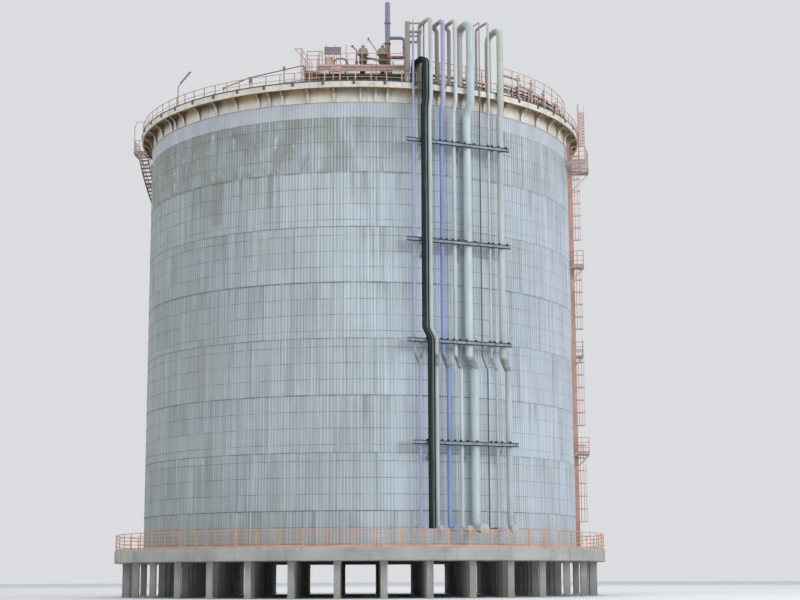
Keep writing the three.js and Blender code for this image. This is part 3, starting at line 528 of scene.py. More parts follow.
def cladding_finish(name):
    """Weathered corrugated sheets: dirty valleys with painted shade, sheets of unlike age, rows of fixings,
    runs, painted shade on the left and under the rack's beams, and painted light on the right and behind the
    rack.
    """
    look = Finish(name)
    colours = bpy.context.scene.tank_colours
    stain_and_shade, pale, dirt_and_shade = colours.cladding_stain, colours.cladding_pale, colours.cladding_dirt
    x, y, z = look.parts_of(look.place)
    degrees = look.times(look.angle(x, y), 180 / math.pi)
    radius = look.length(x, y)
    row = look.times(look.maths("SUBTRACT", z, FIXING_START - 20 * FIXING_PITCH), 1 / FIXING_PITCH)
    course = look.times(look.maths("SUBTRACT", z, LAPS[0] - 2 * COURSE), 1 / COURSE)
    course_number = look.maths("FLOOR", course)
    course_height = look.maths("FRACT", course)
    high = look.band(z, LAPS[6] - 0.03, LAPS[6])
    # Broad patches; darker on the left with dirt and painted shade, and paler lilac on the right with the
    # sheets' tint and painted light
    broad = look.band(look.stretched((0.17, 0.17, 0.12), 4), 0.38, 0.6)
    look.body = look.mix(broad, rgba(colours.cladding), rgba(pale))
    side = look.band(x, -9.0, 2.0, 1.0, 0.0)
    look.cover(look.times(side, 0.74), colours.cladding_warm)
    right = look.band(x, 3.0, 8.5)
    look.cover(look.times(right, 0.5), colours.cladding_lilac)
    # Sheets of one course, and short ones of a row or two, each of its own age
    wide, narrow = (look.maths("FLOOR", look.maths("DIVIDE", degrees, width)) for width in (5.6, 3.2))
    pair = look.maths("FLOOR", look.times(row, 0.5))
    long_sheet = look.white(look.joined(wide, course_number, 3.7))
    short_sheet = look.white(look.joined(narrow, pair, 9.1))
    strength = look.band(high, 0.0, 1.0, 0.3, 0.6)
    look.cover(look.times(look.band(long_sheet, 0.35, 1.0), strength), colours.cladding_dark)
    look.cover(look.times(look.band(short_sheet, 0.0, 0.5, 0.42, 0.0), strength), pale, 1.12)
    green = look.times(look.band(short_sheet, 0.84, 0.92), look.band(side, 0.2, 0.9, 0.12, 0.5))
    look.cover(green, colours.cladding_green)
    # Dirt and painted shade in the valleys, and fine upright lines that start anew at each course
    valley = look.band(radius, WALL_RADIUS - 0.012, WALL_RADIUS - 0.02)
    patchy = look.stretched((1.1, 1.1, 0.5))
    look.cover(look.times(valley, look.band(patchy, 0.3, 0.7, 0.06, 0.32)), stain_and_shade)
    shift = look.joined(0.0, 0.0, look.times(course_number, 5.3))
    shifted = look.scaled(look.place, (12, 12, 0.16), shift)
    fine = look.noise(1, 2, vector=shifted)
    look.cover(look.band(fine, 0.5, 0.7, 0.0, 0.46), stain_and_shade)
    look.cover(look.band(fine, 0.45, 0.28, 0.0, 0.34), pale, 1.2)
    # Runs that hang from each lap, in clusters
    runs = look.noise(1, vector=look.scaled(shifted, (0.36, 0.36, 1.0)))
    clusters = look.band(look.stretched((0.3, 0.3, 0.22), 2), 0.42, 0.6, 0.12, 0.6)
    look.cover(look.times(look.band(runs, 0.46, 0.68), look.band(course_height, 0.1, 1.0), clusters), stain_and_shade)
    # The top course is the dirtiest: brown, green and grey, with pale streaks
    left = look.band(x, 3.0, -5.5, 0.25, 1.0)
    worn = look.stretched((1.3, 1.3, 0.5), 5, 0.62)
    tint = look.band(look.stretched((0.9, 0.9, 0.6), 2), 0.4, 0.6)
    grime = look.mix(tint, rgba(dirt_and_shade), rgba(colours.cladding_green))
    look.cover(look.times(high, left, look.band(worn, 0.4, 0.6, 0.2, 0.95)), grime)
    # The top course's valleys are darker still: dirt and painted shade
    look.cover(look.times(high, valley, look.band(patchy, 0.35, 0.6, 0.15, 0.55)), stain_and_shade)
    look.cover(look.times(high, look.band(fine, 0.52, 0.66, 0.0, 0.4)), stain_and_shade)
    streaks = look.band(look.stretched((7.0, 7.0, 1.5)), 0.62, 0.7, 0.0, 0.65)
    look.cover(look.times(high, left, streaks), pale, 1.15)
    # Behind the rack the sheets are paler with painted light, and below each beam lies dirt with a painted
    # shadow
    turn = math.radians(RACK_ANGLE)
    along = look.maths("ADD", look.times(x, math.cos(turn)), look.times(y, math.sin(turn)))
    near = look.times(look.band(look.maths("ABSOLUTE", along), 2.5, 2.1), look.band(y, 0.0, -1.0))
    look.cover(look.times(near, 0.35), pale, 1.2)
    for level in BEAM_LEVELS:
        below = look.times(look.band(z, level - 0.5, level - 0.2), look.band(z, level + 0.12, level + 0.02))
        look.cover(look.times(near, below, 0.36), dirt_and_shade, 0.8)
    # Two sheets that dirty water runs over
    for middle, half, foot, share in ((-38.4, 2.0, 14.1, 0.62), (-22.6, 0.9, 14.5, 0.5)):
        near = look.band(look.maths("ABSOLUTE", look.maths("SUBTRACT", degrees, middle)), half, half * 0.7)
        below = look.times(look.band(z, foot, foot + 0.25), look.band(z, LAPS[6] + 0.1, LAPS[6]))
        look.cover(look.times(near, below, share), dirt_and_shade)
    # Rows of fixings: thin lines, darker where dirt has caught; laps: thin lines of dirt and painted shadow
    # under each lap's lip
    row_place = look.maths("FRACT", row)
    row_line = look.maths("MAXIMUM", look.band(row_place, 0.03, 0.02), look.band(row_place, 0.97, 0.98))
    lap_ends = ((0.988, 0.995), (0.008, 0.003))
    lap_dirt_and_shadow = look.maths("MAXIMUM", *(look.band(course_height, *ends) for ends in lap_ends))
    broken = look.stretched((1.6, 1.6, 3.0))
    fainter = look.band(right, 0.0, 1.0, 1.0, 0.55)
    look.cover(look.times(row_line, fainter, look.band(broken, 0.36, 0.62, 0.16, 0.66)), stain_and_shade, 0.6)
    look.cover(look.times(lap_dirt_and_shadow, fainter, look.band(broken, 0.34, 0.6, 0.4, 0.85)), stain_and_shade, 0.55)
    # The lilac band under the walkway is cleaner
    clean = look.times(look.band(z, BAND_LOW - 0.01, BAND_LOW), look.band(valley, 0.0, 1.0, 0.92, 0.84))
    look.cover(clean, look.mix(look.band(worn, 0.35, 0.7), rgba(colours.band), rgba(colours.band, 0.84)))
    bump = look.bump(look.noise(38), 0.0012, 0.5)
    return look.close(look.times_add(look.noise(2.2), 0.2, 0.5), bump, 0.0, 0.3)


def roof_finish(name, colour):
    """Grey roof plates with runs that follow the slope down to the edge."""
    look = Finish(name)
    x, y, _ = look.parts_of(look.place)
    out, angle = look.length(x, y), look.angle(x, y)
    rays = look.joined(look.maths("SINE", angle), look.maths("COSINE", angle), look.times(out, 0.03))
    look.body = look.shades(look.noise(0.55, 5), colour, 0.8, 1.12)
    runs = look.band(look.noise(26, vector=rays), 0.48, 0.7)
    look.cover(look.times(runs, look.band(out, 2.0, 8.5, 0.1, 0.5)), (0.25, 0.23, 0.19))
    rust = look.band(look.noise(3.2, 6, 0.7), 0.62, 0.72)
    look.cover(look.times(rust, 0.55), (0.27, 0.14, 0.07))
    return look.close(look.times_add(rust, 0.25, 0.5), look.bump(look.noise(22), 0.003, 0.6))


def cream_finish(name, colour):
    """Cream paint, rusty on the faces that look down, with brown runs from its top edge, and painted shade
    under the walkway and on the brackets' sides.
    """
    look = Finish(name)
    x, y, z = look.parts_of(look.place)
    normal_x, normal_y, normal_z = look.parts_of(look.normal)
    look.body = look.shades(look.noise(1.6, 4), colour, 0.85, 1.08)
    look.cover(look.band(look.stretched((6.5, 6.5, 0.8)), 0.5, 0.74, 0.0, 0.45), (0.33, 0.25, 0.16))
    rusty = look.stretched((1.1, 1.1, 1.1), 5, 0.65)
    rust_tint = look.mix(look.noise(6, 4), (0.17, 0.09, 0.045, 1), (0.4, 0.27, 0.14, 1))
    # The wall band behind the brackets darkens towards the deck, more so on the left: rust stains with
    # painted shade under the walkway
    radius = look.length(x, y)
    inside = look.band(radius, FASCIA[0] - 0.02, FASCIA[0] - 0.06)
    left = look.band(x, 2.0, -6.5, 0.35, 1.0)
    stain_and_shade = look.mix(look.band(rusty, 0.4, 0.6), (0.15, 0.115, 0.07, 1), (0.48, 0.32, 0.15, 1))
    near_deck = look.times(inside, look.band(z, 18.8, 19.16))
    look.cover(look.times(near_deck, look.band(left, 0.0, 1.0, 0.55, 0.9)), stain_and_shade)
    # The brackets' sides are darker on the left: painted shade
    across = look.maths("SUBTRACT", look.times(normal_x, y), look.times(normal_y, x))
    sideways = look.maths("DIVIDE", look.maths("ABSOLUTE", across), radius)
    look.cover(look.times(look.band(sideways, 0.6, 0.9), inside, left), (0.17, 0.135, 0.09))
    down = look.band(normal_z, -0.2, -0.8)
    look.cover(look.times(down, look.band(rusty, 0.32, 0.56, 0.5, 0.95)), rust_tint)
    spots = look.band(look.noise(9, 6, 0.7), 0.63, 0.72)
    look.cover(look.times(spots, 0.6), rust_tint)
    bump = look.bump(look.maths("ADD", look.noise(45, 2), spots), 0.0015, 0.6)
    return look.close(look.times_add(spots, 0.25, 0.5), bump)


def concrete_finish(name, colour):
    """Cast concrete: form lines, pitted face, and runs from the slab's edge."""
    look = Finish(name)
    height = look.parts_of(look.place)[2]
    look.body = look.shades(look.noise(0.8, 5), colour, 0.8, 1.1)
    look.cover(look.band(look.stretched((3.4, 3.4, 0.35), 4), 0.5, 0.72, 0.0, 0.5), (0.22, 0.21, 0.18))
    joints = look.band(look.maths("FRACT", look.times(height, 3.0)), 0.045, 0.0)
    look.cover(look.times(joints, 0.3), (0.25, 0.24, 0.21))
    look.cover(look.times(look.band(height, 0.5, 0.0), 0.35), (0.24, 0.21, 0.16))
    pits = look.band(look.noise(26, 4, 0.7), 0.6, 0.7)
    face = look.maths("SUBTRACT", look.maths("SUBTRACT", look.noise(60), pits), joints)
    return look.close(0.88, look.bump(face, 0.003, 0.8), 0.0, 0.3)


def jacket_finish(name, colour, brown=0.25, arch=0.0, low=None, cut=0.0):
    """Pipe jackets: brown runs, rusty arches behind the rack with painted shade on their backs, bends at the
    jog darkened by rust and painted shade, and a second paint below.
    """
    look = Finish(name)
    x, y, z = look.parts_of(look.place)
    patch = look.stretched((1.4, 1.4, 0.5), 4)
    look.body = look.shades(patch, colour, 0.84, 1.08)
    if low:
        lower = look.shades(patch, low, 0.84, 1.08)
        look.body = look.mix(look.band(look.times_add(patch, 0.5, z), cut, cut + 0.3), lower, look.body)
    look.cover(look.band(look.stretched((14, 14, 0.6)), 0.52, 0.75, 0.0, 0.4), (0.2, 0.18, 0.15))
    # The bends where the pipes jog aside are darker: rust and painted shade
    jog_rust_and_shade = look.times(look.band(z, 8.38, 8.5), look.band(z, 8.98, 8.84))
    look.cover(look.times(jog_rust_and_shade, look.band(look.noise(8, 4), 0.35, 0.6, 0.4, 0.85)), (0.1, 0.12, 0.12))
    turn = math.radians(RACK_ANGLE)
    out = look.maths("SUBTRACT", look.times(x, math.sin(turn)), look.times(y, math.cos(turn)))
    # The arches' backs over the roof take the arch colour: rust and painted shade
    behind = look.times(look.band(z, 19.0, 19.3), look.band(out, 9.34, 9.1))
    look.cover(look.times(behind, arch), bpy.context.scene.tank_colours.arch)
    mottled = look.band(look.noise(3.2, 5, 0.65), 0.36, 0.62, 0.3, 1.0)
    look.cover(look.times(look.band(z, 20.2, 21.6, 0.0, brown), mottled), (0.3, 0.22, 0.16))
    spots = look.band(look.noise(12, 5, 0.7), 0.64, 0.72)
    look.cover(look.times(spots, 0.5), (0.28, 0.14, 0.08))
    return look.close(look.times_add(spots, 0.3, 0.42), look.bump(look.noise(30), 0.0015, 0.5))


def metal_finish(name, colour):
    """Bare plate with a rolled grain."""
    look = Finish(name)
    patch, grain = look.noise(0.7, 4), look.stretched((3, 3, 60))
    look.body = look.shades(patch, colour, 0.8, 1.1)
    look.cover(look.times(look.band(grain, 0.4, 0.7), 0.25), colour, 0.6)
    return look.close(look.times_add(patch, 0.2, 0.4), look.bump(grain, 0.0008, 0.5), 0.85)


# What each paint takes, by its maker; a word stands for one of the tank's colours
PAINTS = {
    cladding_finish: {
        "weathered_cladding": (),
    },
    roof_finish: {
        "roof_plate": ("roof",),
    },
    cream_finish: {
        "cream_paint": ("cream",),
    },
    concrete_finish: {
        "cast_concrete": ("concrete",),
        "insulation_block": ("insulation",),
    },
    metal_finish: {
        "tank_plate": ("plate",),
    },
    painted_steel: {
        "salmon_paint": ("salmon", 0.55, 0.3),
        "orange_paint": ("orange", 0.5, 0.25),
        "stair_paint": ("stair", 0.55, 0.3),
        # The beams' last value darkens their level faces as painted shade
        "beam_paint": ("beam", 0.3, 0.5, 0.6, (0.06, 0.065, 0.07), 0.25, 0.8),
        "motor_paint": ("motor", 0.7, 0.5),
        "tray_paint": ("tray", 0.2, 0.5, 0.6, (0.02, 0.03, 0.03), 0.15),
        "olive_paint": ("olive", 0.5, 0.4, 0.6),
        "case_paint": ("case", 0.3, 0.3),
        "deck_paint": ("deck", 0.6, 0.5),
        "landing_paint": ("landing", 0.5, 0.3),
        "valve_dark": ("body", 0.5, 0.3, 0.55),
        "valve_paint": ("valve", 0.45, 0.4),
        "black_paint": ("black", 0.05, 0.5, 0.6, (0.05, 0.075, 0.08), 0.12),
        "dark_paint": ("dark", 0.4, 0.3),
        "brown_paint": ("brown", 0.5, 0.3),
        "galvanised": ("galvanised", 0.2, 0.3, 0.42),
    },
    jacket_finish: {
        "purple_jacket": ("lavender", 0.1, 0.9, "purple", 18.6),
        "slim_jacket": ("lavender", 0.95),
        "cream_jacket": ("pale_cream", 0.2, 0.7),
        "dark_jacket": ("pale_cream", 0.25, 0.45, "teal", 19.6),
        "thin_jacket": ("arch", 0.3, 0.8, "olive", 19.0),
        "pale_jacket": ("pale_pipe", 0.2, 0.4),
        "green_jacket": ("green", 0.1, 0.45, "teal", 19.1),
        "stack_jacket": ("stack", 0.1, 0.0, "brown", 21.6),
        "column_jacket": ("column", 0.3, 0.0, "white", 19.75),
    },
}


def paint(name):
    """The finish of that name, made the first time it is asked for."""
    if name not in paints:
        colours = bpy.context.scene.tank_colours
        maker = next(maker for maker, rows in PAINTS.items() if name in rows)
        values = PAINTS[maker][name]
        values = [getattr(colours, value) if isinstance(value, str) else value for value in values]
        paints[name] = maker(name, *values)
    return paints[name]


# What a user can change

def tint_of(name, description, default):
    return bpy.props.FloatVectorProperty(
        name=name, description=description, default=default, min=0.0, max=1.0, subtype="COLOR"
    )


def size_of(name, description, default):
    return bpy.props.FloatProperty(
        name=name, description=description, default=default, min=0.0, unit="LENGTH"
    )


class TankSizes(bpy.types.PropertyGroup):
    """Sizes of the fine parts, at the model's scale."""

    rib_depth: size_of("Rib depth", "How far the cladding's ribs stand out", 0.02)
    lap_step: size_of("Lap step", "How far one course of sheets laps over the next", 0.007)
    rail_tube: size_of("Rail tube", "Radius of the handrails' tubes", 0.015)
    walkway_rail: size_of("Walkway rail", "Height of the rail round the roof", 0.52)
    slab_rail: size_of("Slab rail", "Height of the rail round the slab", 0.65)
    landing_rail: size_of("Landing rail", "Height of the landings' rails", 0.55)
    ladder_rail: size_of("Ladder rail", "Height of the rails on the ladder's landings", 0.66)
    rung_pitch: size_of("Rung pitch", "Distance from rung to rung", 0.15)
    hoop_pitch: size_of("Hoop pitch", "Distance between the cage's hoops", 0.53)


class TankColours(bpy.types.PropertyGroup):
    """Colours of the paints."""

    cladding: tint_of("Cladding", "Older sheets", (0.44, 0.5, 0.54))
    cladding_pale: tint_of("Pale cladding", "Newer sheets", (0.54, 0.61, 0.66))
    # The left sheets' colour is dirt with painted shade; the right sheets' lilac is their tint with painted
    # light
    cladding_warm: tint_of("Warm cladding", "Sheets on the left", (0.33, 0.35, 0.345))
    cladding_lilac: tint_of("Lilac cladding", "Sheets on the right", (0.52, 0.55, 0.62))
    cladding_dark: tint_of("Dark cladding", "Darkest sheets", (0.34, 0.385, 0.41))
    cladding_green: tint_of("Green cladding", "Sheets with algae", (0.31, 0.335, 0.29))
    # Stain also serves as painted shade in the valleys and along the laps
    cladding_stain: tint_of("Stain", "Runs down the cladding", (0.22, 0.245, 0.25))
    # Dirt also serves as the painted shadow below the rack's beams
    cladding_dirt: tint_of("Dirt", "Dirt on the top course", (0.26, 0.265, 0.25))
    band: tint_of("Band", "Band above the sheets", (0.54, 0.565, 0.615))
    roof: tint_of("Roof", "Roof plates", (0.36, 0.38, 0.39))
    cream: tint_of("Cream", "Walkway and its brackets", (0.67, 0.645, 0.57))
    concrete: tint_of("Concrete", "Slab and piers", (0.41, 0.42, 0.395))
    salmon: tint_of("Salmon", "Handrails and ladders", (0.58, 0.335, 0.27))
    stair: tint_of("Stair", "Winding stair", (0.44, 0.29, 0.26))
    orange: tint_of("Orange", "Rails round the slab", (0.68, 0.33, 0.17))
    beam: tint_of("Beam", "Rack beams", (0.3, 0.36, 0.41))
    black: tint_of("Black", "Cable duct", (0.006, 0.018, 0.021))
    dark: tint_of("Dark", "Small pipes and clamps", (0.09, 0.09, 0.09))
    purple: tint_of("Purple", "Purple pipes", (0.225, 0.285, 0.53))
    pale_cream: tint_of("Pale cream", "Cream pipes", (0.48, 0.53, 0.53))
    teal: tint_of("Grey green", "Lower parts of two risers", (0.43, 0.465, 0.475))
    pale_pipe: tint_of("Pale pipe", "Main riser", (0.48, 0.55, 0.58))
    green: tint_of("Green", "Return riser", (0.45, 0.52, 0.44))
    stack: tint_of("Stack", "Vent stack", (0.21, 0.2, 0.3))
    brown: tint_of("Brown", "Rusty pipes", (0.23, 0.15, 0.11))
    white: tint_of("White", "Foot of the column", (0.66, 0.68, 0.68))
    valve: tint_of("Valve", "Relief valves", (0.27, 0.26, 0.2))
    galvanised: tint_of("Galvanised", "Lamp and panel", (0.4, 0.42, 0.43))
    plate: tint_of("Plate", "Inner tank", (0.5, 0.52, 0.54))
    insulation: tint_of("Insulation", "Bottom blocks", (0.55, 0.52, 0.44))
    tray: tint_of("Tray", "Channel beside the duct", (0.13, 0.165, 0.15))
    case: tint_of("Case", "Instrument case and lamp", (0.19, 0.185, 0.22))
    column: tint_of("Column", "Column beside the rack", (0.3, 0.28, 0.26))
    body: tint_of("Valve body", "Bodies of the relief valves", (0.12, 0.105, 0.07))
    deck: tint_of("Deck", "Roof platform", (0.4, 0.35, 0.33))
    landing: tint_of("Landing", "Landings of the ladder", (0.52, 0.46, 0.43))
    # Olive: the roof pipes' and cables' own dark paint with painted shade in it
    olive: tint_of("Olive", "Pipes and cables on the roof", (0.06, 0.062, 0.045))
    motor: tint_of("Motor", "Motor and cabinet on the roof", (0.5, 0.37, 0.32))
    lavender: tint_of("Lavender", "Sun-bleached tops of the purple pipes", (0.35, 0.36, 0.56))
    # Arch: rust on the arches' backs, with painted shade
    arch: tint_of("Arch", "Rusty backs of the pipes' arches", (0.3, 0.25, 0.215))


# Pieces

class Maker(bpy.types.Operator):
    """What the tank's operators share"""

    bl_options = {"REGISTER", "UNDO"}

    def execute(self, context):
        self.make(context.scene.tank_sizes)
        return {"FINISHED"}


class TANK_OT_foundation(Maker):
    """Models the round slab and its piers"""

    bl_idname = "tank.foundation"
    bl_label = "Foundation"

    def make(self, sizes):
        edge = 0.03
        rim = SLAB_RADIUS - 0.0005
        drip = SLAB_RADIUS - 0.17
        lathe([
            (0, SLAB_LOW), (drip - 0.03, SLAB_LOW), (drip, SLAB_LOW + 0.04), (drip + 0.04, SLAB_LOW),
            (SLAB_RADIUS - edge, SLAB_LOW), (rim, SLAB_LOW + edge), (rim, SLAB_TOP - edge),
            (SLAB_RADIUS - edge, SLAB_TOP), (0, SLAB_TOP),
        ], (0, 0), 144)
        # One pier with a cap and a footing pad, copied to the ring and to the rows inside it
        places = [at(5 + 10 * pier, 9.7, 0) for pier in range(36)]
        lines = [side * places[pier].x for pier in range(6) for side in (1, -1)]
        places.extend(Vector((x, y, 0)) for x in lines for y in lines if math.hypot(x, y) < 8.6)
        first, half = places[0], 0.13
        square = ((-half, -half), (half, -half), (half, half), (-half, half))
        face([(first.x + i, first.y + j, 0) for i, j in square])
        for rise, share in ((0.08, 1), (0, 0.92), (1.14, 1), (0, 1.08), (0.13, 1)):
            extrude((0, 0, rise))
            grow(share, first)
        select_all()
        copies_at(places)
        finish("slab_and_piers", "cast_concrete", ["foundation_slab"], 30)


def cladding_sheets(sizes):
    """One rib drawn up the wall with a step at each lap, copied along, and given a thickness."""
    foot, lap_depth = SLAB_TOP + 0.03, 0.025
    valley = WALL_RADIUS - sizes.rib_depth
    plan = ((0, WALL_RADIUS), (0.3, WALL_RADIUS), (0.4, valley), (0.7, valley), (RIB, WALL_RADIUS))
    chain([at(RING_START + turn, radius, foot) for turn, radius in plan])
    bpy.ops.mesh.select_mode(type="EDGE")
    select_all()
    step = 1 + sizes.lap_step / WALL_RADIUS
    height = foot
    for lap in LAPS:
        extrude((0, 0, lap - height))
        grow(1 / step)
        if lap != LAPS[-1]:
            extrude((0, 0, -lap_depth))
            grow(step)
            height = lap - lap_depth
    select_all()
    around(75, RIB)
    bpy.ops.mesh.remove_doubles(threshold=0.0005)
    sheet = bpy.context.object
    bpy.ops.object.mode_set(mode="OBJECT")
    first = sheet.data.polygons[0]
    if first.normal.xy.dot(first.center.xy) < 0:
        bpy.ops.object.mode_set(mode="EDIT")
        select_all()
        bpy.ops.mesh.flip_normals()
        bpy.ops.object.mode_set(mode="OBJECT")
    thick = sheet.modifiers.new("thickness", "SOLIDIFY")
    thick.thickness = 0.005
    thick.offset = -1
    bpy.ops.object.modifier_apply(modifier=thick.name)


class TANK_OT_cladding(Maker):
    """Models one sixth of the corrugated wall, and copies it round"""

    bl_idname = "tank.cladding"
    bl_label = "Cladding"

    def make(self, sizes):
        cladding_sheets(sizes)
        # Base flashing on the slab
        out, low, high = WALL_RADIUS + 0.03, SLAB_TOP, SLAB_TOP + 0.05
        flashing = [(8.95, low), (out, low), (out, low + 0.012), (WALL_RADIUS + 0.004, high), (8.95, high)]
        ring(flashing, RING_START, RING_START + 60, 48)
        # Fixings on every second rib
        angle = RING_START + 0.15
        clear()
        bpy.ops.mesh.primitive_cone_add(
            vertices=6, radius1=0.016, radius2=0.008, depth=0.012, end_fill_type="NGON",
            location=at(angle, WALL_RADIUS + 0.003, FIXING_START), rotation=facing(at(angle, 1, 0)),
        )
        edit()
        copies((0, 0, FIXING_PITCH), int((BAND_LOW - FIXING_START) / FIXING_PITCH) + 1)
        around(38, 2 * RIB)
        finish_round("cladding", 6, "weathered_cladding", "outer_wall", 20, False)


class TANK_OT_dome(Maker):
    """Models a quarter of the lapped roof plates, and copies it round"""

    bl_idname = "tank.dome"
    bl_label = "Dome"

    def make(self, sizes):
        rings = 9
        profile = []
        for number in range(rings + 1):
            radius = DOME_EDGE[0] * (rings - number) / rings
            profile.append((radius, dome_height(radius)))
            if 0 < number < rings:
                # Each course of plates laps over the one below it
                profile.append((radius + 0.03, dome_height(radius + 0.03) + 0.012))
        profile.extend((radius, dome_height(radius) - 0.05) for radius in (0, 2.2, 4.5, 6.7, 8.9))
        profile.append((DOME_EDGE[0], WALL_TOP))
        face([at(0, radius, height) for radius, height in profile])
        sweep_round(0, 90, 36)
        bpy.ops.mesh.remove_doubles(threshold=0.0005)
        # Standing seams down the slope, each a bent flat bar
        seam = [at(1.25, radius, dome_height(radius)) for radius in (8.9, 8, 7, 6, 5, 4, 3)]
        run(seam, flat=(0.02, 0.05), bend=0.0001, steps=1)
        around(36, 2.5)
        finish_round("dome_plates", 4, "roof_plate", "roof_dome", 20)


def walkway_bracket(angle, count):
    """A concave web with a flange along its edge, and a stiffener on the fascia."""
    outer, low, high = FASCIA
    pitch = 90 / BRACKETS
    foot, head, end = 18.675, 19.235, outer - 0.05
    curve = [(9.055, foot), (9.085, 18.82), (9.155, 18.985), (9.275, 19.085), (end, low + 0.01)]
    web = [(WALL_RADIUS, foot), *curve, (end, head), (WALL_RADIUS, head)]
    edge = [(r + 0.004, z - 0.006) for r, z in curve]
    flange_edge = edge + [(r - 0.009, z + 0.008) for r, z in reversed(curve)]
    side = at(angle + 90, 1, 0)
    for outline, width in ((web, 0.024), (flange_edge, 0.09)):
        turn = math.degrees(width / 2 / 9.2)
        prism([at(angle - turn, r, z) for r, z in outline], side * width)
        around(count, pitch)
    face_radius = outer - 0.008
    bar(at(angle, face_radius, low), at(angle, face_radius, high - 0.02), (0.05, 0.03), side, 0.004)
    around(count, pitch)


class TANK_OT_walkway(Maker):
    """Models a quarter of the ring walkway with its brackets, and copies it round"""

    bl_idname = "tank.walkway"
    bl_label = "Walkway"

    def make(self, sizes):
        outer, low, high = FASCIA
        quarter = (RING_START, RING_START + 90, 36)
        under, edge, thick = 19.23, outer - 0.045, 0.015
        # Deck plate, and the fascia as a channel with a lip at its top and foot
        strip(DOME_EDGE[0], outer - 0.02, 19.228, DECK_TOP, *quarter)
        inner, foot = outer - thick, outer - 0.07
        ring([(foot, low), (outer, low), (outer, high), (edge, high), (edge, high - thick),
              (inner, high - thick), (inner, low + thick), (foot, low + thick)], *quarter)
        # The cream wall band behind the brackets, with a lip at its foot
        band, face_radius = 18.66, WALL_RADIUS + 0.01
        ring([(8.98, band), (9.02, band), (9.02, band + 0.04), (face_radius, band + 0.05),
              (face_radius, under), (8.98, under)], *quarter)
        # A stringer under the deck between the brackets
        strip(9.2, 9.24, 19.17, under, *quarter)
        walkway_bracket(RING_START + 45 / BRACKETS, BRACKETS)
        finish_round("walkway_deck", 4, "cream_paint", "walkway", 25)
        # Three brackets that stand between the regular ones
        for angle in (-55.5, -22.7, 3.6):
            walkway_bracket(angle, 1)
        finish("extra_brackets", "cream_paint", smooth=25)


def railing(radius, floor, height, start, end, pitch, tube, middles, toe=0.0):
    """Posts with a top rail and one or more rails below it, along an arc."""
    count = max(1, round((end - start) / pitch))
    steps = max(2, round((end - start) / 2.5))
    top = floor + height - tube
    bar(at(start, radius, floor), at(start, radius, top), (tube * 1.3, tube * 2.9), at(start, 1, 0))
    around(count + 1, (end - start) / count)
    box(at(start, radius, floor + 0.006), (0.06, 0.06, 0.012), start, 0.003)
    around(count + 1, (end - start) / count)
    hoop(radius, top, tube, start, end, steps)
    for share in middles:
        hoop(radius, floor + height * share, tube * 0.8, start, end, steps, 6)
    if toe:
        strip(radius - 0.004, radius + 0.004, floor + 0.01, floor + toe, start, end, steps)


class TANK_OT_walkway_rails(Maker):
    """Models the handrails round the roof, open at the ladder and the stair"""

    bl_idname = "tank.walkway_rails"
    bl_label = "Walkway rails"

    def make(self, sizes):
        rail, tube, radius = sizes.walkway_rail, sizes.rail_tube, FASCIA[0] - 0.018
        first = 2.45
        spans = (
            ((first, 81), (86, first + 90)),
            ((first + 90, first + 180),),
            ((first + 180, 264), (268.5, first + 270)),
            ((first + 270, first + 360),),
        )
        for number, quarter in enumerate(spans, 1):
            for start, end in quarter:
                railing(radius, DECK_TOP, rail, start, end - 0.05, 3.6, tube, (0.52,))
            finish(f"walkway_rail_{number}", "salmon_paint")
        # A dark pipe along the fascia's top edge, held by clamps
        outer, _, high = FASCIA
        pitch = 7.2
        clamp = 5.6
        for number in range(4):
            start = RING_START + 90 * number
            hoop(outer - 0.004, high + 0.02, 0.026, start, start + 90, 36)
            count = 13 - number % 2
            box(at(clamp, outer + 0.004, high - 0.04), (0.095, 0.06, 0.17), clamp)
            around(count, pitch)
            clamp += pitch * count
            finish(f"fascia_pipe_{number + 1}", "dark_paint")


class TANK_OT_slab_rails(Maker):
    """Models a quarter of the rails round the slab, and copies it round"""

    bl_idname = "tank.slab_rails"
    bl_label = "Slab rails"

    def make(self, sizes):
        ends = (RING_START, RING_START + 90)
        railing(10.12, SLAB_TOP, sizes.slab_rail, *ends, 5, sizes.rail_tube, (0.3, 0.53, 0.76), 0.08)
        finish_round("slab_railing", 4, "orange_paint", "slab_rail")


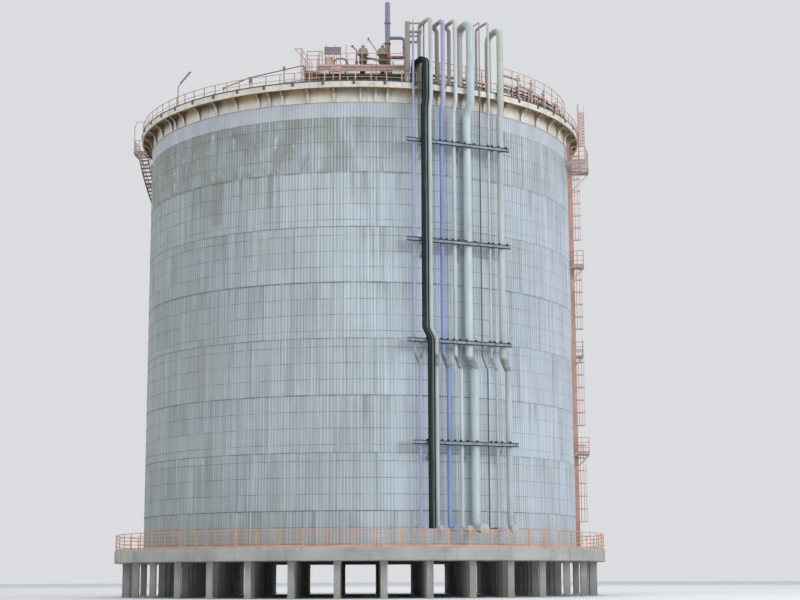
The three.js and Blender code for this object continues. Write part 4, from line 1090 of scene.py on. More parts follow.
class TANK_OT_beams(Maker):
    """Models the four rack beams with their stubs, struts and pipe clamps"""

    bl_idname = "tank.beams"
    bl_label = "Rack beams"

    def make(self, sizes):
        back, front = BEAM_BACK + 0.002, BEAM_FRONT - 0.002
        web = (back + front) / 2
        half, length, sheet = 0.075, 4.4, 0.014
        # Half of the I section's outline, from its foot up; the other half mirrors it
        near = [(front, -half), (front, sheet - half), (web + 0.006, sheet - half)]
        outline = near + [(n, -u) for n, u in reversed(near)]
        outline += [(back + front - n, u) for n, u in reversed(outline)]
        along = on_rack(1, 0, 0)
        for number, level in enumerate(BEAM_LEVELS, 1):
            shift = 0.22 if number == 4 else 0.0
            left = shift - length / 2
            prism([on_rack(left, n, level + u) for n, u in outline], along * length)
            # Stiffener plates between the flanges
            plate = left + 0.1
            bar(on_rack(plate, back + 0.01, level), on_rack(plate, front - 0.008, level), (0.128, 0.01))
            copies(along * 0.6, 8)
            for place in (shift - 1.43, shift + 0.13, shift + 1.56):
                # A stub and a strut, each with its plate on the wall
                for near_wall, out, foot, head, size, across in (
                    (8.95, back + 0.01, 0, 0, (0.11, 0.05), UP),
                    (8.95, back - 0.02, -0.61, -0.05, (0.035, 0.035), along),
                    (9.0, 9.035, 0, 0, (0.2, 0.12), UP),
                    (8.99, 9.03, -0.56, -0.56, (0.14, 0.1), UP),
                ):
                    start, end = on_rack(place, near_wall, level + foot), on_rack(place, out, level + head)
                    bar(start, end, size, across, 0.005)
            finish(f"rack_beam_{number}", "beam_paint", [f"bracket_beam_{number}"], 25)
            # Black strips at the flanges' edges as painted shadow, and a clamp at each side of every pipe
            for height, thick in ((0.012 - half, 0.03), (half - 0.008, 0.02)):
                start = on_rack(left, front + 0.003, level + height)
                bar(start, start + along * length, (thick, 0.006))
            for _, place, radius, *_ in RISERS:
                for side in (-1, 1) if radius > 0.04 else ():
                    clamp = on_rack(place + side * (radius + 0.045), web, level + half + 0.025)
                    box(clamp, (0.06, 0.09, 0.055), RACK_ANGLE, 0.004)
            finish(f"beam_edges_{number}", "black_paint")


# Node, place along the rack, radius, height of the top, whether it stands before the beams,
# how far its leg stands aside, paint and slot
RISERS = (
    ("riser_dark", -1.265, 0.078, 22.04, True, 0.0, "dark_jacket", "green_paint"),
    ("riser_purple", -0.66, 0.082, 22.03, False, 0.23, "purple_jacket", "purple_paint"),
    ("riser_cream", -0.14, 0.078, 22.105, False, 0.23, "cream_jacket", "cream_paint"),
    ("riser_main", 0.47, 0.158, 22.15, False, 0.0, "pale_jacket", "pale_pipe"),
    ("riser_thin", 0.96, 0.024, 22.13, False, 0.0, "thin_jacket", "dark_paint"),
    ("riser_small", 1.36, 0.05, 22.24, False, 0.0, "cream_jacket", "cream_paint"),
    ("riser_return", 1.89, 0.125, 22.1, False, 0.0, "green_jacket", "green_paint"),
)


def riser_foot(place, radius):
    """How far a riser's foot reaches out, so that its flange stays over the slab."""
    return math.sqrt(9.96 ** 2 - (abs(place) + radius + 0.035) ** 2)


def riser_corners(place, radius, top, front, aside):
    low = BEAM_FRONT + 0.0003 + radius if front else BEAM_BACK - 0.0003 - radius
    high = max(low, math.sqrt(FASCIA[0] ** 2 - place ** 2) + radius + 0.02)
    high_place = place + 0.06 if front else place
    low_place = place + 0.22
    step = (9.5, 9.9) if front else (8.44, 8.95)
    level = top - radius
    back = high - 1.0
    reach = riser_foot(low_place, radius)
    leg = dome_height(min(math.hypot(high_place + aside, back), 8.9)) - 0.02
    corners = [
        (low_place, reach - 0.02, FOOT_LEVEL), (low_place, low, FOOT_LEVEL), (low_place, low, step[0]),
        (place, low, step[1]), (place, low, 18.3), (high_place, high, 18.8),
        (high_place, high, level), (high_place, back, level),
    ]
    if aside:
        corners.append((high_place + aside, back, level))
    corners.append((high_place + aside, back, leg))
    return [on_rack(*corner) for corner in corners], reach


def flange(centre, out, radius):
    """A flange with a blind plate and a ring of bolts through both."""
    rim = radius + 0.035
    for back in (0.0085, 0.0235):
        disc(centre - out * back, out, rim, 0.013)
    disc(centre - out * 0.045, out, radius + 0.012, 0.04, 16)
    disc(centre - out * 0.016 + out.cross(UP) * (rim - 0.016), out, 0.008, 0.03, 6, 0)
    circle_of(8, centre, out)


def jacket_bands(start, end, radius, pitch=0.62, width=0.02):
    """Bands round a pipe's jacket, along one straight stretch."""
    start, end = Vector(start), Vector(end)
    length = (end - start).length
    count = int((length - 0.1) / pitch)
    if count < 1:
        return
    along = (end - start).normalized()
    first = start + along * (length - pitch * (count - 1)) / 2
    disc(first, along, radius + 0.004, width, 20, 0)
    copies(along * pitch, count)


class TANK_OT_risers(Maker):
    """Models the pipes that climb the rack, with their bends, bands and flanges"""

    bl_idname = "tank.risers"
    bl_label = "Risers"

    def make(self, sizes):
        out = on_rack(0, 1, 0)
        for node, place, radius, top, front, aside, look, slot in RISERS:
            corners, reach = riser_corners(place, radius, top, front, aside)
            sides = 28 if radius > 0.1 else 18
            run(corners, radius, bend=radius * 2.5, sides=sides, steps=7)
            flange(on_rack(place + 0.22, reach, FOOT_LEVEL), out, radius)
            for start in (1, 3, 5, len(corners) - 2) if radius > 0.05 else ():
                jacket_bands(corners[start], corners[start + 1], radius)
            finish(f"{node}_pipe", look, [node])
        # The slim riser ends in a taper
        radius, low_place, place = 0.042, -1.63, -1.85
        stand = BEAM_BACK - 0.0003 - radius
        reach = riser_foot(low_place, radius)
        corners = [
            on_rack(low_place, reach - 0.02, FOOT_LEVEL), on_rack(low_place, stand, FOOT_LEVEL),
            on_rack(low_place, stand, 8.44), on_rack(place, stand, 8.95), on_rack(place, stand, 21.3),
        ]
        run(corners, radius, bend=radius * 2.5, sides=18, steps=7)
        taper = [
            (0, 21.28), (0.05, 21.28), (0.05, 21.34), (radius, 21.36), (0.02, 21.6), (0.008, 21.9), (0, 21.9),
        ]
        lathe(taper, corners[-1].xy, 16)
        flange(on_rack(low_place, reach, FOOT_LEVEL), out, radius)
        for level in (10.4, 14.1, 18.0, 20.2):
            disc(on_rack(place, stand, level), UP, radius + 0.012, 0.05, 16)
        finish("riser_slim_pipe", "slim_jacket", ["riser_slim"])


def duct_route(depth, side, out):
    """The duct's way up the rack and over the roof's edge, moved aside and outwards."""
    top, low_place, place, high_place = 20.36, -1.235, -1.455, -1.395
    near = BEAM_FRONT + 0.0003 + depth / 2
    back = near - 1.0
    leg = dome_height(math.hypot(high_place, back)) - 0.02
    face_out, back_out = near + out, back - out
    corners = (
        (low_place, face_out, FOOT_LEVEL), (low_place, face_out, 9.5), (place, face_out, 9.9),
        (place, face_out, 18.3), (high_place, face_out, 18.8), (high_place, face_out, top + out),
        (high_place, back_out, top + out), (high_place, back_out, leg),
    )
    return [on_rack(along + side, stand, height) for along, stand, height in corners]


class TANK_OT_duct(Maker):
    """Models the closed cable duct with its cover joints, side channel and loose cables"""

    bl_idname = "tank.duct"
    bl_label = "Cable duct"

    def make(self, sizes):
        depth, joint_pitch = 0.11, 0.75
        across = on_rack(1, 0, 0)
        # The duct and its cover plate, the channel at its right, and that channel's edge with the joints:
        # how far each is moved aside and outwards, and its section
        covers = ((-0.08, 0, 0.13, depth), (-0.08, depth / 2, 0.142, 0.008))
        sections = (
            ("black", "black_paint", ["cable_duct"], covers),
            ("tray", "tray_paint", (), ((0.036, -0.012, 0.085, depth - 0.024),)),
            ("edge", "black_paint", (), ((0.085, 0, 0.022, depth),)),
        )
        for name, look, nodes, rows in sections:
            for side, out, width, thick in rows:
                run(duct_route(depth, side, out), flat=(width, thick), bend=depth * 2.5, across=across)
            if name == "edge":
                corners = duct_route(depth, -0.08, 0)
                for start in (0, 2, 4):
                    length = corners[start + 1].z - corners[start].z
                    count = max(1, int(length / joint_pitch))
                    first = corners[start] + UP * (length - joint_pitch * (count - 1)) / 2
                    box(first, (0.14, depth + 0.01, 0.03), RACK_ANGLE, 0.003)
                    copies((0, 0, joint_pitch), count)
            finish(f"cable_duct_{name}", look, nodes, 25)
        # Loose cables beside the duct, from the roof down to the first beam; their near-black olive is partly
        # their colour and partly painted shade beside the duct
        for number in range(5):
            place = -1.73 + 0.042 * number
            height = 19.9 + 0.04 * number
            run([
                on_rack(place + 0.04, BEAM_FRONT - 0.02, 17.13), on_rack(place, 9.5, 18.4),
                on_rack(place, 9.5, height), on_rack(place, 8.75, height),
                on_rack(place, 8.75, dome_height(math.hypot(place, 8.75)) - 0.02),
            ], 0.012, bend=0.12, sides=8, steps=4)
        finish("rack_cables", "olive_paint")


# Ladders, landings and the stair

LEVELS = (SLAB_TOP, 5.8, 9.93, 13.7, 17.94, DECK_TOP)
LADDER_ANGLES = (83.4, 80.6, 83.4, 80.6, 83.4)
LADDER_HALF = 0.1375
CAGE_HALF = 0.165

# Level, first and last angle, outer radius, the ends that a rail closes, and the hatch
LANDINGS = (
    (5.8, 79.2, 82.25, 9.65, (79.2,), None),
    (9.93, 81.75, 84.9, 9.48, (84.9,), None),
    (13.7, 79.2, 82.25, 9.59, (79.2,), None),
    (17.94, 72.5, 85.2, 9.88, (72.5, 85.2), (79.4, 81.8, 9.57)),
)

STAIR_INNER = 9.46
STAIR_OUTER = 9.84
STAIR_FLIGHTS = (43, 43, 42)
STAIR_HEAD = 19.12
TREAD_ANGLE = 0.92
RISER = (STAIR_HEAD - SLAB_TOP) / sum(STAIR_FLIGHTS)


def straight_rail(start, end, height, pitch, tube, toe=0.0, middles=(0.5,)):
    """Posts from one place to another, with a top rail and the rails below it."""
    start, end = Vector(start), Vector(end)
    count = max(1, round((end - start).length / pitch))
    rise = UP * (height - tube)
    rod(start, start + rise, tube * 0.9)
    copies((end - start) / count, count + 1)
    for share in (1.0, *middles):
        rod(start + rise * share, end + rise * share, tube if share == 1 else tube * 0.8)
    if toe:
        lift = UP * (toe / 2 + 0.005)
        bar(start + lift, end + lift, (toe, 0.005))


def floor_arc(inner, outer, level, start, end, hatch=None):
    """Grating between two edge channels, with an opening where a ladder comes up."""
    steps = max(2, round((end - start) / 2.5))
    low, sheet = level - 0.06, 0.006
    for edge, side in ((outer, -1), (inner, 1)):
        back, front = edge + side * sheet, edge + side * 0.03
        ring([(edge, low), (edge, level), (front, level), (front, level - sheet), (back, level - sheet),
              (back, low + sheet), (front, low + sheet), (front, low)], start, end, steps)
    spans = [(start, end, inner)]
    if hatch:
        left, right, reach = hatch
        spans = [(start, left, inner), (left, right, reach), (right, end, inner)]
        height = level - 0.025
        corners = [(left, inner), (left, reach), (right, reach), (right, inner)]
        for ends in zip(corners, corners[1:]):
            bar(*(at(angle, radius, height) for angle, radius in ends), (0.05, 0.01))
    for angle in (start, end):
        bar(at(angle, inner, level - 0.03), at(angle, outer, level - 0.03), (0.06, 0.01))
    for first, last, near in spans:
        count = max(2, round((last - first) / 0.4))
        pitch = (last - first) / count
        angle, height = first + pitch / 2, level - 0.015
        bar(at(angle, near, height), at(angle, outer - 0.006, height), (0.008, 0.006))
        around(count, pitch)
        rows = max(2, round((outer - near) / 0.13))
        for row in range(1, rows):
            radius = near + (outer - near) * row / rows
            strip(radius - 0.004, radius + 0.004, level - 0.014, level - 0.004, first, last, steps)


def wall_brace(angle, reach, level):
    """A strut that stands on a plate on the wall and carries a landing's outer edge."""
    back, front = WALL_PLATE
    foot = level - (reach - back)
    for low, out, high, size, across in (
        (foot, reach, level, (0.032, 0.032), at(angle + 90, 1, 0)),
        (foot + 0.02, front, foot + 0.02, (0.16, 0.12), UP),
        (level, reach, level, (0.035, 0.03), UP),
        (level, front, level, (0.14, 0.12), UP),
    ):
        bar(at(angle, back, low), at(angle, out, high), size, across, 0.004)


def ladder_cage(middle, side, out, reach, low, high, pitch):
    """Hoops, each half an oval round the climber's back, tied by seven straps."""
    deep = 0.028
    hoops = int((high - low) / pitch) + 1

    def on_oval(degrees, inset):
        turn = math.radians(degrees)
        across = side * math.sin(turn) * (CAGE_HALF - inset)
        return middle + across + out * math.cos(turn) * (reach - inset) + UP * low

    turns = [18 * step - 90 for step in range(11)]
    outline = [on_oval(turn, 0) for turn in turns] + [on_oval(turn, 0.006) for turn in reversed(turns)]
    prism(outline, (0, 0, deep))
    copies((0, 0, pitch), hoops)
    for degrees in (-72, -48, -24, 0, 24, 48, 72):
        turn = math.radians(degrees)
        foot = on_oval(degrees, 0.01)
        along = side * math.cos(turn) / CAGE_HALF - out * math.sin(turn) / reach
        bar(foot, foot + UP * ((hoops - 1) * pitch + deep), (0.026, 0.005), along)


class TANK_OT_ladders(Maker):
    """Models the five runs of the cage ladder"""

    bl_idname = "tank.ladders"
    bl_label = "Ladders"

    def make(self, sizes):
        for number, angle in enumerate(LADDER_ANGLES, 1):
            last = number == len(LADDER_ANGLES)
            # The last run stands clear of the walkway, and its cage is shallow and dense
            stand, reach, deep, spare, share = 9.15, 0.36, 0.17, 0, 1
            if last:
                stand, reach, deep, spare, share = 9.48, 0.27, 0.05, 0.18, 0.25
            floor = LEVELS[number - 1]
            top = LEVELS[number] + (1.5 if last else 0.6)
            side, out = at(angle + 90, 1, 0), at(angle, 1, 0)
            middle = out * stand
            for half in (-LADDER_HALF, LADDER_HALF):
                # Deep flat stiles, which look like one broad band from the front
                foot = middle + side * half + UP * floor
                edge = foot + out * (0.027 - deep / 2)
                bar(edge, edge + UP * (top + spare - floor), (deep, 0.012), out, 0.002)
                box(foot + UP * 0.006, (0.08, 0.06, 0.012), angle, 0.002)
                # Stand-offs to the wall, each on a plate
                for step in range(3):
                    level = floor + 0.7 + 1.2 * step
                    if level < min(top - 0.7, 19.0):
                        wall = out * 8.985 + side * half + UP * level
                        bar(wall, wall + out * (stand - 8.985), (0.03, 0.008))
                        bar(wall, wall + out * 0.06, (0.13, 0.07), UP, 0.003)
                if last:
                    # The cage's two back straps reach above its hoops
                    strap = middle + out * (reach - 0.012) + side * half * 0.3
                    bar(strap + UP * (floor + 1.15), strap + UP * (top + spare), (0.03, 0.012), side)
            rung = middle + UP * (floor + sizes.rung_pitch)
            rod(rung - side * LADDER_HALF, rung + side * LADDER_HALF, 0.0095, 6)
            copies((0, 0, sizes.rung_pitch), int((top - floor - 0.03) / sizes.rung_pitch))
            ladder_cage(middle, side, out, reach, floor + 1.15, top - 0.2, sizes.hoop_pitch * share)
            finish(f"cage_ladder_{number}", "salmon_paint", [f"ladder_{number}"], 30)


class TANK_OT_ladder_landings(Maker):
    """Models the ladder's four landings with their rails"""

    bl_idname = "tank.ladder_landings"
    bl_label = "Ladder landings"

    def make(self, sizes):
        tube, rail, middles = sizes.rail_tube, sizes.ladder_rail, (0.35, 0.68)
        for number, (level, start, end, outer, closed, hatch) in enumerate(LANDINGS, 1):
            floor_arc(9.03, outer, level, start, end, hatch)
            for angle in (start + 0.3, end - 0.3):
                wall_brace(angle, outer - 0.03, level - 0.075)
            nodes = [f"ladder_landing_{number}"]
            finish(f"landing_floor_{number}", "landing_paint", nodes, 30)
            railing(outer - 0.018, level, rail, start + 0.1, end - 0.1, 1.6, tube, middles, 0.07)
            for angle in closed:
                ends = at(angle, 9.06, level), at(angle, outer - 0.02, level)
                straight_rail(*ends, rail, 0.3, tube, 0.07, middles)
            finish(f"landing_rail_{number}", "salmon_paint")


def down_stair(count, treads):
    """Copies what is selected down the stair's curve, so many treads apart."""
    for _ in range(count - 1):
        bpy.ops.mesh.duplicate_move(TRANSFORM_OT_translate={"value": (0, 0, -RISER * treads)})
        turn_round(TREAD_ANGLE * treads)
    select_all()


def draw_down(treads):
    """Draws the selected face down the stair's curve, over a whole flight."""
    steps = 21
    for _ in range(steps):
        extrude((0, 0, -RISER * treads / steps))
        turn_round(TREAD_ANGLE * treads / steps)
    select_all()


def stair_landing(sizes, start, end, level, first):
    """The landing at the head of a flight; the first one is deeper and joins the walkway."""
    tube, rail = sizes.rail_tube, sizes.landing_rail
    outer = STAIR_OUTER + (0.09 if first else 0.0)
    floor_arc(STAIR_INNER, outer, level, start, end)
    railing(outer - 0.018, level, rail, start + 0.1, end - 0.05, 1.1, tube, (0.5,), 0.07)
    if first:
        ends = at(end, STAIR_INNER, level), at(end, outer - 0.02, level)
        straight_rail(*ends, rail, 0.25, tube, 0.07)
        # A rail that slants from the landing's corner to the walkway's rail
        foot = at(end - 0.05, outer - 0.02, level)
        slant = [foot, foot + UP * 1.13, at(-83.5, 9.66, 20.12), at(-76.1, FASCIA[0] - 0.018, 19.765)]
        for below, above in zip(slant, slant[1:]):
            rod(below, above, tube)
    else:
        railing(STAIR_INNER + 0.018, level, rail, start + 0.1, end - 0.05, 1.1, tube, (0.5,))
    for turn in (start + 0.8, end - 0.8):
        wall_brace(turn, outer - 0.03, level - 0.075)


def stair_flight(tube, angle, level, treads):
    side, out = at(angle - 90, 1, 0), at(angle, 1, 0)
    corner = out * (STAIR_INNER + 0.01) + UP * (level - RISER)
    tread = [corner + side * v + UP * u for v, u in lip_outline(0.168, 0.035)]
    prism(tread, out * (STAIR_OUTER - STAIR_INNER - 0.02))
    down_stair(treads, 1)
    # Stringers, handrails and their posts
    middle = level - 0.5 * RISER - 0.03
    for near in (STAIR_INNER, STAIR_OUTER - 0.01):
        corners = ((near, -0.1), (near + 0.01, -0.1), (near + 0.01, 0.1), (near, 0.1))
        face([at(angle, radius, middle + lift) for radius, lift in corners])
        draw_down(treads)
    post = angle - 0.4
    for radius in (STAIR_INNER + 0.012, STAIR_OUTER - 0.014):
        for lift, size in ((0.5, tube), (0.27, tube * 0.8)):
            circle(at(angle, radius, middle + lift), at(angle + 90, 1, 0), size)
            draw_down(treads)
        foot, head = middle - 0.5 * RISER, middle + 0.49 - 0.4 * RISER
        rod(at(post, radius, foot), at(post, radius, head), tube * 0.85, 6)
        down_stair(treads // 4 + 1, 4)
    # Arms that carry the flight from the wall
    for arm in range(1, 6):
        tread = round(treads * arm / 6)
        place = angle - (tread - 0.5) * TREAD_ANGLE
        height = level - tread * RISER - 0.09
        for foot, reach, head, size, across in (
            (0, STAIR_OUTER - 0.005, 0, (0.07, 0.045), UP),
            (0, 9.025, 0, (0.16, 0.12), UP),
            (-0.5, STAIR_OUTER - 0.2, -0.03, (0.04, 0.04), at(place + 90, 1, 0)),
        ):
            bar(at(place, 8.985, height + foot), at(place, reach, height + head), size, across, 0.004)


class TANK_OT_stairs(Maker):
    """Models the three flights of the stair that winds down behind the tank"""

    bl_idname = "tank.stairs"
    bl_label = "Stairs"

    def make(self, sizes):
        angle, level = -96.0, STAIR_HEAD
        for number, risers in enumerate(STAIR_FLIGHTS, 1):
            stair_landing(sizes, angle - 0.2, angle + 4.49, level, number == 1)
            stair_flight(sizes.rail_tube, angle, level, risers - 1)
            finish(f"winding_stair_{number}", "stair_paint", [f"stair_{number}"], 30)
            angle -= (risers - 1) * TREAD_ANGLE + 4.5
            level -= risers * RISER


# Roof gear

PLATFORM_TOP = 20.16
PLATFORM_EDGES = {
    "front": -8.716, "back": -6.984, "left": -2.166, "step": -1.616, "right": 1.716, "corner": -8.116,
}
VALVES = ((0.09, -8.25), (0.85, -8.25))
STACK = (1.06, -7.6)
COLUMN = (1.8, -8.97)


def on_dome(x, y):
    return dome_height(min(math.hypot(x, y), 8.95))


def platform_stair(west, east, rail, tube):
    """The stair up from the walkway: two plates at the sides, treads and handrails."""
    foot, head, top = -9.12, -8.151, PLATFORM_TOP
    rise, going = (top - DECK_TOP) / 7, (head - foot) / 6
    tread = DECK_TOP + rise
    plate = [(foot, DECK_TOP), (foot, tread + 0.02), (head, top), (head, top - 0.18), (foot + 0.12, DECK_TOP)]
    for x in (west - 0.01, east):
        prism([(x, y, z) for y, z in plate], (0.01, 0, 0))
    edge = foot + 0.005
    prism([(west, edge + v, tread + u) for v, u in lip_outline(going, 0.03)], (east - west, 0, 0))
    copies((0, going, rise), 6)
    for x in (west, east):
        straight_rail((x, foot + 0.03, tread), (x, head - 0.04, top - 0.03), rail, 0.45, tube)
    finish("roof_stair_steel", "stair_paint", ["roof_stair"], 30)


def platform_side_frames(tube):
    """Frames at the platform's left: a slanting one on the walkway, and one at the stair's head."""
    y, post, high = -8.97, -2.23, 20.775
    for start, end in (
        ((post, y, DECK_TOP), (post, y, high)),
        ((post - 0.06, y + 0.06, DECK_TOP), (post - 0.06, y + 0.06, high)),
        ((-2.54, y, high), (post, y, high)),
        ((-2.54, y, high + 0.01), (-1.97, y, 20.16)),
        ((post, y, 20.69), (-1.87, y, 20.2)),
    ):
        rod(start, end, tube)
    for x in (-1.97, -1.87):
        rod((x, y, DECK_TOP), (x, y, 20.2), tube * 1.4)
    y = PLATFORM_EDGES["corner"]
    left, right, high = -2.08, -1.5, 20.96
    for x in (left, right):
        rod((x, y, PLATFORM_TOP - 0.02), (x, y, high), tube)
    for z, share in ((high, 1), (20.78, 0.8), (20.62, 0.8)):
        rod((left, y, z), (right, y, z), tube * share)
    finish("platform_side_frames", "stair_paint")


def platform_headers():
    """Pipes that lie on the roof under the platform, and the blocks that carry them; their near-black olive
    is partly their paint and partly painted shade, filling the shade under the platform.
    """
    for y, z, radius in (
        (-8.6, 19.6, 0.11), (-8.42, 19.84, 0.11), (-8.78, 19.8, 0.028), (-8.86, 19.47, 0.05),
    ):
        rod((-2.0, y, z), (1.66, y, z), radius, 20 if radius > 0.1 else 10)
        for x in (-1.2, -0.1, 1.1):
            disc((x, y, z), (1, 0, 0), radius + 0.03, 0.03)
    for x in (-1.62, -0.65, 0.35, 1.4):
        bar((x, -8.86, 19.34), (x, -8.3, 19.42), (0.06, 0.06), UP, 0.005)
        for y, foot, head, thick in ((-8.42, 19.4, 19.75, 0.06), (-8.78, 19.36, 19.8, 0.04)):
            bar((x, y, foot), (x, y, head), (thick, thick), (1, 0, 0), 0.005)
    finish("platform_headers", "olive_paint")


class TANK_OT_platform(Maker):
    """Models the platform on the roof: beams, legs, grating and rails, and its stair"""

    bl_idname = "tank.platform"
    bl_label = "Roof platform"

    def make(self, sizes):
        top = PLATFORM_TOP
        tube, rail = sizes.rail_tube, sizes.landing_rail
        front, back, left, step, right, corner = PLATFORM_EDGES.values()
        outline = [(step, front), (right, front), (right, back), (left, back), (left, corner), (step, corner)]
        edges = list(zip(outline, outline[1:] + outline[:1]))
        beam = top - 0.075
        for start, end in edges:
            girder((*start, beam), (*end, beam), 0.148, 0.06, True)
        # A joist across, and the deck beams under it
        joist, under = beam - 0.01, top - 0.08
        girder((step + 0.03, -7.85, joist), (right - 0.03, -7.85, joist), 0.12, 0.06)
        girder((-1.2, front + 0.03, under), (-1.2, back - 0.03, under), 0.09, 0.05)
        copies((0.6, 0, 0), 5)
        girder((left + 0.28, corner + 0.03, under), (left + 0.28, back - 0.03, under), 0.09, 0.05)
        # Legs on the dome, with a plate at each end and knee braces at the front
        legs = [(left, corner), (left, back), (step, front), (right, front), (right, back)]
        legs += [(x, y) for y in (front, back) for x in (-0.5, 0.6)]
        for x, y in legs:
            foot = on_dome(x, y)
            bar((x, y, foot - 0.03), (x, y, top - 0.14), (0.07, 0.07), (1, 0, 0), 0.006)
            box((x, y, foot + 0.008), (0.15, 0.15, 0.02), 0, 0.003)
            box((x, y, top - 0.15), (0.13, 0.11, 0.014), 0, 0.003)
            for way in (-1, 1) if y == front else ():
                if left < x + way * 0.25 < right and (x, way) != (step, -1):
                    bar((x, y, top - 0.36), (x + way * 0.22, y, top - 0.15), (0.04, 0.008), (0, 1, 0))
        finish("platform_frame", "deck_paint", ["roof_platform"], 30)
        # Grating, with a collar round each pipe that comes through
        for west, south, count in ((step + 0.04, front + 0.03, 65), (left + 0.04, corner + 0.03, 10)):
            bar((west, south, top - 0.015), (west, back - 0.03, top - 0.015), (0.028, 0.005))
            copies((0.05, 0, 0), count)
        for row in range(8):
            y = back - 0.12 - 0.21 * row
            west = left if y > corner + 0.03 else step
            bar((west + 0.03, y, top - 0.008), (right - 0.03, y, top - 0.008), (0.008, 0.008))
        for (x, y), radius in ((VALVES[0], 0.15), (VALVES[1], 0.15), (STACK, 0.18)):
            disc((x, y, top - 0.006), UP, radius, 0.02, 24)
        finish("platform_grating", "galvanised")
        # The rails leave the stair's head open
        for start, end in edges[:4] + edges[5:]:
            straight_rail((*start, top), (*end, top), rail, 0.55, tube, 0.07)
        finish("platform_rails", "salmon_paint")
        platform_stair(left + 0.026, step - 0.074, rail - 0.02, tube)
        platform_side_frames(tube)
        platform_headers()


def valve_links():
    """Pipes from valve to valve, and the small bent pipes round them."""
    (west, y), (east, _) = VALVES
    low, drain = PLATFORM_TOP, east + 0.5
    for start, end, radius, sides in (
        ((west + 0.1, y, 20.66), (east - 0.1, y, 20.56), 0.048, 14),
        ((west + 0.1, y, 20.4), (east - 0.1, y, 20.37), 0.022, 8),
        ((east + 0.1, y, 20.36), (east + 0.72, y, 20.36), 0.022, 8),
        ((east + 0.38, y - 0.1, 20.48), (drain, y - 0.12, 20.2), 0.02, 8),
        ((drain, y - 0.12, low - 0.02), (drain, y - 0.12, 20.23), 0.02, 8),
    ):
        rod(start, end, radius, sides)
    disc((drain, y - 0.12, 20.23), (0, 1, 0), 0.05, 0.03, 14)
    # Bent pipe with a blind end, and the arch over the platform's edge
    x, y = west - 0.25, y - 0.1
    run([(x - 0.17, y, 21.1), (x, y, 20.93), (x, y, low)], 0.028, bend=0.08)
    disc((x - 0.17, y, 21.1), (-1, 0, 1), 0.05, 0.05, 14)
    rod((x, y, low), (x, y, 20.5), 0.055, 14)
    y, left, right, head = -8.6, -1.04, -0.51, 20.5
    run([(left, y, low), (left, y, head), (right, y, head), (right, y, low)], 0.04, bend=0.19)
    for x in (left, right):
        for lift in (0.05, 0.1):
            disc((x, y, low + lift), UP, 0.075, 0.03, 16)
    finish("valve_links", "brown_paint")


def valve_levers():
    """Levers over the second valve, and a rod that stands at the platform's edge."""
    east, y = VALVES[1]
    for lift in (0.0, 0.06):
        rod((east - 0.2, y, 20.86 + lift), (east - 0.54, y, 21.38 + lift), 0.01)
    rod((east - 0.2, y, 20.86), (east - 0.2, y, 20.92), 0.012)
    box((east - 0.55, y, 21.42), (0.07, 0.05, 0.11), 0, 0.006)
    rod((east - 0.02, y, 21.1), (east + 0.12, y + 0.3, 21.42), 0.01)
    rod((-0.565, -8.6, PLATFORM_TOP), (-0.565, -8.6, 21.08), 0.011)
    finish("valve_levers", "case_paint")


def platform_motor():
    """A cabinet on the platform's front edge, and a motor on two posts below it."""
    box((-1.2, -8.62, 20.36), (0.3, 0.12, 0.4), 0, 0.01)
    box((-1.2, -8.685, 20.36), (0.26, 0.01, 0.35), 0, 0.003)
    y, z = -8.9, 19.98
    for start, end, radius, sides in ((-1.12, -0.72, 0.105, 20), (-0.72, -0.6, 0.05, 16)):
        rod((start, y, z), (end, y, z), radius, sides)
    for x, radius, thick in ((-1.13, 0.11, 0.02), (-0.73, 0.12, 0.025)):
        disc((x, y, z), (1, 0, 0), radius, thick)
    for x in (-1.05, -0.8):
        bar((x, y, DECK_TOP), (x, y, z - 0.03), (0.05, 0.05), (1, 0, 0), 0.004)
    finish("platform_motor", "motor_paint")


